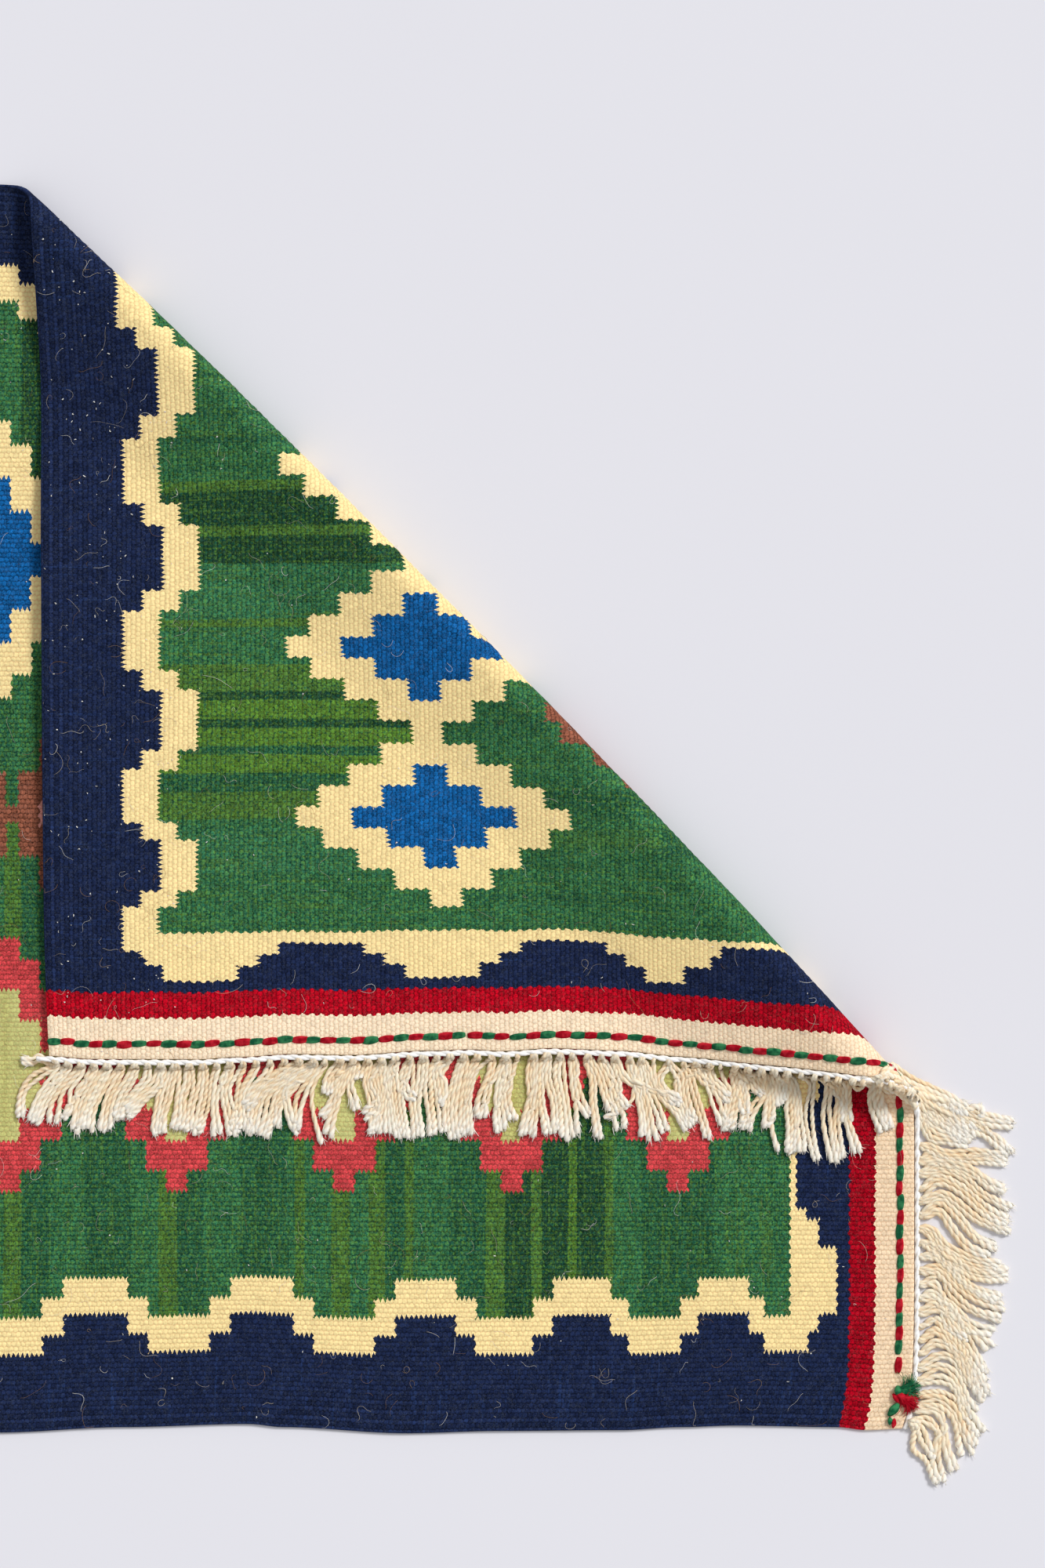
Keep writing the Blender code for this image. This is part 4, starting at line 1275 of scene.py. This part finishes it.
def make_frays(end, name, paths, cotton, fibres_each):
    """The loose fibres at the cords' tips."""
    random, count = end.random, len(paths) * fibres_each
    each = (count, 1)
    tip = np.repeat(paths[:, -1], fibres_each, axis=0)
    behind = np.repeat(paths[:, -4], fibres_each, axis=0)
    way = unit(tip - behind)
    sideways = unit(np.cross((0.0, 0.0, 1.0), way))
    across = random.uniform(-FRAY_ACROSS, FRAY_ACROSS, each) * sideways
    across[:, 2] += random.normal(*FRAY_RISE, count)
    start = tip - way * random.uniform(*FRAY_START, each) + across
    spread = way + sideways * random.normal(0, FRAY_SPREAD, each)
    spread[:, 2] += random.normal(*FRAY_DIP, count)
    run = unit(spread) * random.uniform(*FRAY_LENGTH, each)
    t = np.linspace(0, 1, FRAY_POINTS)
    bend = random.normal(0, FRAY_BEND, (count, 1, 3))
    fibres = start[:, None] + run[:, None] * t[:, None] + bend * (t * t)[:, None]
    fibres[..., 2] = np.maximum(fibres[..., 2], ground_height(fibres) + 0.0002)
    radii = FIBRE_RADIUS * np.interp(t, *FRAY_SWELL) * np.ones(each)
    name, tone = "fringe_tips_" + name, random.random(count)
    return make_strands(name, cotton, fibres, radii, FRAY_SECTION, tone, along=1.0)


def cotton_material():
    g = Graph("cotton_fringe")
    tone, along, depth = g.attribute("strand")
    place = g.object_place()
    patch = g.noise(place, 60.0, 2.0)
    fibre = g.noise(place, 2200.0, 2.0, 0.6)
    warm = g.spread(tone * 0.6 + patch, 0.55, 1.15)
    colour = g.mix(warm, COTTON, COTTON_TAN)
    colour = g.mix(g.spread(along, 0.70, 0.95), colour, COTTON_TIP)
    # painted shade: the groove between the two plies is tinted a darker tan, less at the frayed
    # tips, and darkened a little
    groove = g.spread(depth, 0.72, 0.92, 1.0, 0.0)
    groove_shade_share = 0.18 + 0.34 * tone - 0.18 * g.spread(along, 0.80, 1.0)
    colour = g.mix(groove * groove_shade_share, colour, COTTON_GROOVE_SHADE)
    colour = g.tinted(colour, (1.0 - 0.10 * groove) * (0.96 + 0.18 * fibre))
    g.shader.inputs["Subsurface Weight"].default_value = 0.25
    g.shader.inputs["Subsurface Radius"].default_value = (1.0, 0.8, 0.6)
    g.shader.inputs["Subsurface Scale"].default_value = 0.0015
    return g.finish(colour, fibre, 0.0003, 0.8, 0.9, 0.1)


# === twining ===

TWINING_RADIUS = 0.00125
TWINING_SWAY = 0.00062
TWINING_TURN = 0.0178
TWINING_STEP = 0.0009
TWINING_WOBBLES = ((0.12, 900), (0.08, 2300))
TWINING_FROM = -0.008      # the folded end's twining stands out past its corner
KNOT_AT = 0.770            # where the folded end's line stops
LINE_PERIOD = 0.0094       # of one dash
LINE_SLANT = 0.0007        # how far out a dash goes along its length
DASH_LENGTH, DASH_THICKNESS = (1.06, 1.22), (0.85, 1.08)
DASH_STRAY, DASH_SWAY = 0.0006, 0.00025
LINE_RADIUS = 0.0024
LINE_SECTION = (1.0, 0.90, 0.66, 0.56, 0.66, 0.90) * 2
LINE_RED, LINE_RED_LIGHT = srgb(176, 10, 32), srgb(216, 40, 56)
LINE_GREEN, LINE_GREEN_LIGHT = srgb(26, 98, 64), srgb(62, 142, 92)
YARN_RINGS = 9


def make_white_twining(end, white, v_from):
    """Two white cords that turn round each other along the end."""
    v = np.linspace(v_from, RUG_WIDTH, int((RUG_WIDTH - v_from) / TWINING_STEP))
    angle = 2 * math.pi * v / TWINING_TURN + np.array(((0.0,), (math.pi,)))
    place, normal = surface(end.u(TWINING_OUT + TWINING_SWAY * np.cos(angle)), v)
    paths = place + (TWINING_SWAY * np.sin(angle))[..., None] * normal
    wobble = 1 + sum(size * np.sin(v * rate) for size, rate in TWINING_WOBBLES)
    radii = TWINING_RADIUS * np.array((wobble, wobble[::-1]))
    name = "white_twining_" + end.name
    return make_strands(name, white, paths, radii, (1.0,) * 7, (0.2, 0.5))


def make_twined_line(end, wool, v_to):
    """Spindle-shaped passes of red and green yarn, by turns, on both faces."""
    random, count = end.random, int(v_to / LINE_PERIOD)
    each, number = (count, 1), np.arange(count)
    t = np.linspace(0, 1, YARN_RINGS)
    bulge = np.sin(math.pi * t)
    starts = number[:, None] * LINE_PERIOD + random.normal(0, DASH_STRAY, each)
    lengths = LINE_PERIOD * random.uniform(*DASH_LENGTH, each)
    v = np.clip(starts + t * lengths, 0.0, RUG_WIDTH)
    sway = random.normal(0, DASH_SWAY, each)
    out = -((LINE_FROM + LINE_TO) / 2 + (t - 0.5) * LINE_SLANT + sway)
    swell = (0.58 + 0.42 * bulge ** 0.7) * random.uniform(*DASH_THICKNESS, each)
    place, normal = surface(end.u(out), v)
    lift = (CLOTH_THICK / 2 + 0.0001 + 0.0003 * bulge)[:, None] * normal
    paths = np.concatenate((place + lift, place - lift))
    radii = LINE_RADIUS * np.concatenate((swell, swell))
    tone, up = np.concatenate((number % 2, (number + 1) % 2)), np.concatenate((normal, -normal))
    name = "twined_line_" + end.name
    return make_strands(name, wool, paths, radii, LINE_SECTION, tone, up=up)


# The knot's spindles of yarn: (x, y) from and to in millimetres, radius, colour
KNOT_SPINDLES = (
    (736, -377, 740, -383, 2.0, 0), (740, -383, 733, -391, 3.0, 1),
    (734, -392, 734, -397, 1.7, 1), (737, -393, 736, -399, 1.7, 0),
    (739, -372, 740, -378, 3.2, 1), (738, -376, 744, -379, 3.0, 0),
)
# Its frayed tufts: x, y, heading and spread in degrees, length, fibres, colour
KNOT_TUFTS = (
    (740, -375, 14, 16, 14.5, 240, 1), (742, -380, -24, 34, 11.5, 360, 0),
    (741, -378, -60, 25, 7.0, 120, 0),
)
KNOT_BASE = CLOTH_THICK + 0.0010
KNOT_SECTION = (1.0,) * 5


def knot_spindle(t, x, y, to_x, to_y, radius, tone):
    """(path, radii, tone) of a wrap of yarn."""
    bulge = np.sin(math.pi * t)
    line = (x + (to_x - x) * t) / 1000, (y + (to_y - y) * t) / 1000, KNOT_BASE + 0.001 * bulge
    return np.stack(line, -1), radius / 1000 * (0.35 + 0.65 * bulge), tone


def tuft_fibre(t, random, x, y, heading, spread, length, tone):
    """(path, radii, tone) of a fibre of a frayed tail."""
    angle = math.radians(heading + random.normal(0, spread / 2))
    way = angle + random.normal(0, 0.5) * t
    run = length / 1000 * random.uniform(0.45, 1.0) * t
    start = np.array((x, y)) / 1000 + random.normal(0, 0.0009, 2)
    rise = KNOT_BASE + random.uniform(0.0, 0.0032) * np.sin(math.pi * (0.25 + 0.6 * t))
    line = start[0] + run * np.cos(way), start[1] + run * np.sin(way), rise
    tinge = 0.2 * random.random() * (1 if tone == 0 else -1)
    return np.stack(line, -1), 0.00026 * (1 - 0.5 * t), tone + tinge


def make_knot(wool):
    """The knot that ends the twined line: wraps of yarn and two frayed tails."""
    random = np.random.default_rng(SEED + 5)
    t = np.linspace(0, 1, YARN_RINGS)
    strands = [knot_spindle(t, *spindle) for spindle in KNOT_SPINDLES]
    for *tuft, fibres, tone in KNOT_TUFTS:
        strands += [tuft_fibre(t, random, *tuft, tone) for _ in range(fibres)]
    paths, radii, tones = (np.array(part) for part in zip(*strands))
    return make_strands("knot_yarn", wool, paths, radii, KNOT_SECTION, tones, along=t)


# === loose hairs ===

HAIRS = 2450
SPECKS = 560
HAIR_POINTS = 11
HAIR_RADIUS, SPECK_RADIUS = (0.00005, 0.00010), (0.00014, 0.00042)
SPECK_LENGTH = (0.0005, 0.0018)
HAIR_BEND, HAIR_CURL = 2.2, 0.7
HAIR_LIFT = (0.0003, 0.0022)
HAIR_INSET, HAIR_LEAST_INSET = 0.004, 0.001
# The lint shows most on the folded side's border: its width, the share of the rug's length,
# and the shares of specks and of hairs that lie there
STRIP_WIDTH, STRIP_LENGTH = 0.090, 0.37
STRIP_SPECKS, STRIP_HAIRS = 0.30, 0.03
HAIR_BROWN, HAIR_GREY = srgb(150, 120, 84), srgb(200, 190, 172)
HAIR_WHITE = srgb(238, 236, 230)


def make_hairs():
    """Wool hairs and specks of lint that lie on the faces seen from above."""
    random = np.random.default_rng(SEED + 6)
    each = (HAIRS + SPECKS, 1)
    speck = np.arange(each[0])[:, None] >= HAIRS
    length = random.uniform(*SPECK_LENGTH, each), random.gamma(4.0, 0.0028, each)
    step = np.where(speck, *length) / (HAIR_POINTS - 1)
    heading = random.uniform(0, 2 * math.pi, each)
    bend, curl = random.normal(0, HAIR_BEND, each), random.normal(0, HAIR_CURL, each)
    t = np.linspace(0, 1, HAIR_POINTS)
    way = heading + bend * t + curl * np.sin(2 * math.pi * t)
    in_strip = speck & (random.random(each) < STRIP_SPECKS)
    in_strip |= ~speck & (random.random(each) < STRIP_HAIRS)
    strip = STRIP_LENGTH, STRIP_WIDTH / RUG_WIDTH
    courses = []
    for size, part, step_in in zip((RUG_LENGTH, RUG_WIDTH), strip, (np.cos(way), np.sin(way))):
        start = random.uniform(HAIR_INSET, size - HAIR_INSET, each)
        start = start * np.where(in_strip, part, 1.0)
        course = start + np.cumsum(step * step_in, axis=1)
        courses.append(np.clip(course, HAIR_LEAST_INSET, size - HAIR_LEAST_INSET))
    place, normal = surface(*courses)
    upward = normal * np.where(normal[..., 2:] < 0, -1.0, 1.0)
    lift = random.uniform(*HAIR_LIFT, each) * np.sin(math.pi * t) + 0.0001
    lift = np.where(speck, 0.0003, lift)
    paths = place + (CLOTH_THICK / 2 + lift)[..., None] * upward
    thick = random.uniform(*SPECK_RADIUS, each), random.uniform(*HAIR_RADIUS, each)
    radii = np.where(speck, *thick) * np.ones(HAIR_POINTS)
    tone = np.where(speck, 1.0, random.random(each) * 0.9)
    return make_strands("loose_hairs", hair_material(), paths, radii, FRAY_SECTION, tone)


def hair_material():
    g = Graph("loose_wool")
    tone, _, _ = g.attribute("strand")
    speckle = g.noise(g.object_place(), 900.0, 1.0)
    colour = g.mix(g.spread(tone, 0.25, 0.35), HAIR_BROWN, HAIR_GREY)
    colour = g.mix(g.spread(tone, 0.60, 0.70), colour, HAIR_WHITE)
    return g.finish(g.tinted(colour, 0.85 + 0.3 * speckle), speckle, 0.0001, 0.5, 0.8)


def line_material():
    g = Graph("twined_yarn")
    tone, _, depth = g.attribute("strand")
    place = g.object_place()
    fibre = g.noise(place, 1300.0, 3.0, 0.7)
    patch = g.noise(place, 260.0, 1.0)
    red = g.mix(g.spread(patch, 0.40, 0.62), LINE_RED, LINE_RED_LIGHT)
    green = g.mix(g.spread(patch, 0.40, 0.62), LINE_GREEN, LINE_GREEN_LIGHT)
    colour = g.mix(tone > 0.5, red, green)
    shade = g.spread(depth, 0.5, 1.0, 0.62, 1.0) * (0.55 + 0.9 * fibre)
    return g.finish(g.tinted(colour, shade), fibre, 0.0006, 1.0, 0.95)


def white_material():
    g = Graph("white_twining")
    fibre = g.noise(g.object_place(), 1800.0, 2.0, 0.6)
    colour = g.tinted(WHITE, 0.92 + 0.14 * fibre)
    return g.finish(colour, fibre, 0.0003, 0.8, 0.85, 0.1)


# === stage ===

FLOOR_GREY = srgb(231, 230, 236)


def make_floor():
    g = Graph("pale_floor")
    tone = g.noise(g.object_place(), 3.0, 2.0) * 0.02 + 0.99
    material = g.finish(g.tinted(FLOOR_GREY, tone), tone, 0.0001, 0.1, 0.85)
    bpy.ops.mesh.primitive_plane_add(size=FLOOR_SIZE, location=(0.0, 0.0, FLOOR_TOP))
    floor = bpy.context.object
    floor.name = "pale_floor"
    floor.data.materials.append(material)
    return floor


def make_lights():
    world = bpy.data.worlds.new("studio")
    world.use_nodes = True
    sky = world.node_tree.nodes["Background"]
    sky.inputs[0].default_value = SKY_COLOUR
    sky.inputs[1].default_value = SKY_STRENGTH
    bpy.context.scene.world = world
    sun = bpy.data.lights.new("key", "SUN")
    sun.energy = SUN_STRENGTH
    sun.angle = SUN_SPREAD
    add_object("key", sun).rotation_euler = SUN_TURN
    bpy.context.scene.view_settings.view_transform = "Standard"


def make_camera():
    data = bpy.data.cameras.new("camera")
    data.lens = CAMERA_LENS
    data.sensor_width = CAMERA_SENSOR
    camera = add_object("camera", data)
    camera.location = CAMERA_PLACE
    bpy.context.scene.camera = camera


def belongs(piece, slot, *nodes):
    """Attaches a piece to the body, and hides the solids that it stands for."""
    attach(piece, BODY)
    if nodes:
        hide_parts(*nodes)
    return piece


def make_edge(end, materials, v_from, v_to):
    """What runs along one end: the white twining and the two-coloured line."""
    _, white, yarn = materials
    twining, line = make_white_twining(end, white, v_from), make_twined_line(end, yarn, v_to)
    belongs(twining, "white_twining", "twining_" + end.name)
    return [twining, belongs(line, "wool_weave")]


def make_fringe(end, cotton, name, laid_out, rings, fibres, radius=CORD_RADIUS):
    """One stretch of fringe: its cords and the loose fibres at their tips."""
    laid = settle(end, *laid_out)
    cords = make_cords(end, name, laid, cotton, rings, radius)
    belongs(cords, "fringe_cotton", "fringe_" + end.name)
    tips = make_frays(end, name, laid, cotton, fibres)
    return [cords, belongs(tips, "fringe_cotton")]


def main():
    make_camera()
    make_lights()
    floor = make_floor()
    cloth = belongs(make_cloth(kilim_material()), "wool_weave", "rug_cloth")
    materials = cotton_material(), white_material(), line_material()
    cotton, _, yarn = materials
    folded, far = End(True, 1), End(False, 2)
    trimmings = make_edge(folded, materials, TWINING_FROM, KNOT_AT)
    trimmings += make_edge(far, materials, 0.0, RUG_WIDTH)
    flap, side = charted_paths(folded, FLAP_LOCKS), charted_paths(folded, SIDE_LOCKS)
    hanging = fanned_paths(far, FAR_END_FAN)
    trimmings += make_fringe(folded, cotton, "flap", flap, rings=44, fibres=16)
    trimmings += make_fringe(
        folded, cotton, "side", side, rings=50, fibres=18, radius=SIDE_CORD_RADIUS
    )
    trimmings += make_fringe(far, cotton, "far_end", hanging, rings=26, fibres=9)
    trimmings.append(belongs(make_knot(yarn), "knot_yarn", "twined_line_knot"))
    trimmings.append(belongs(make_hairs(), "wool_weave"))


main()
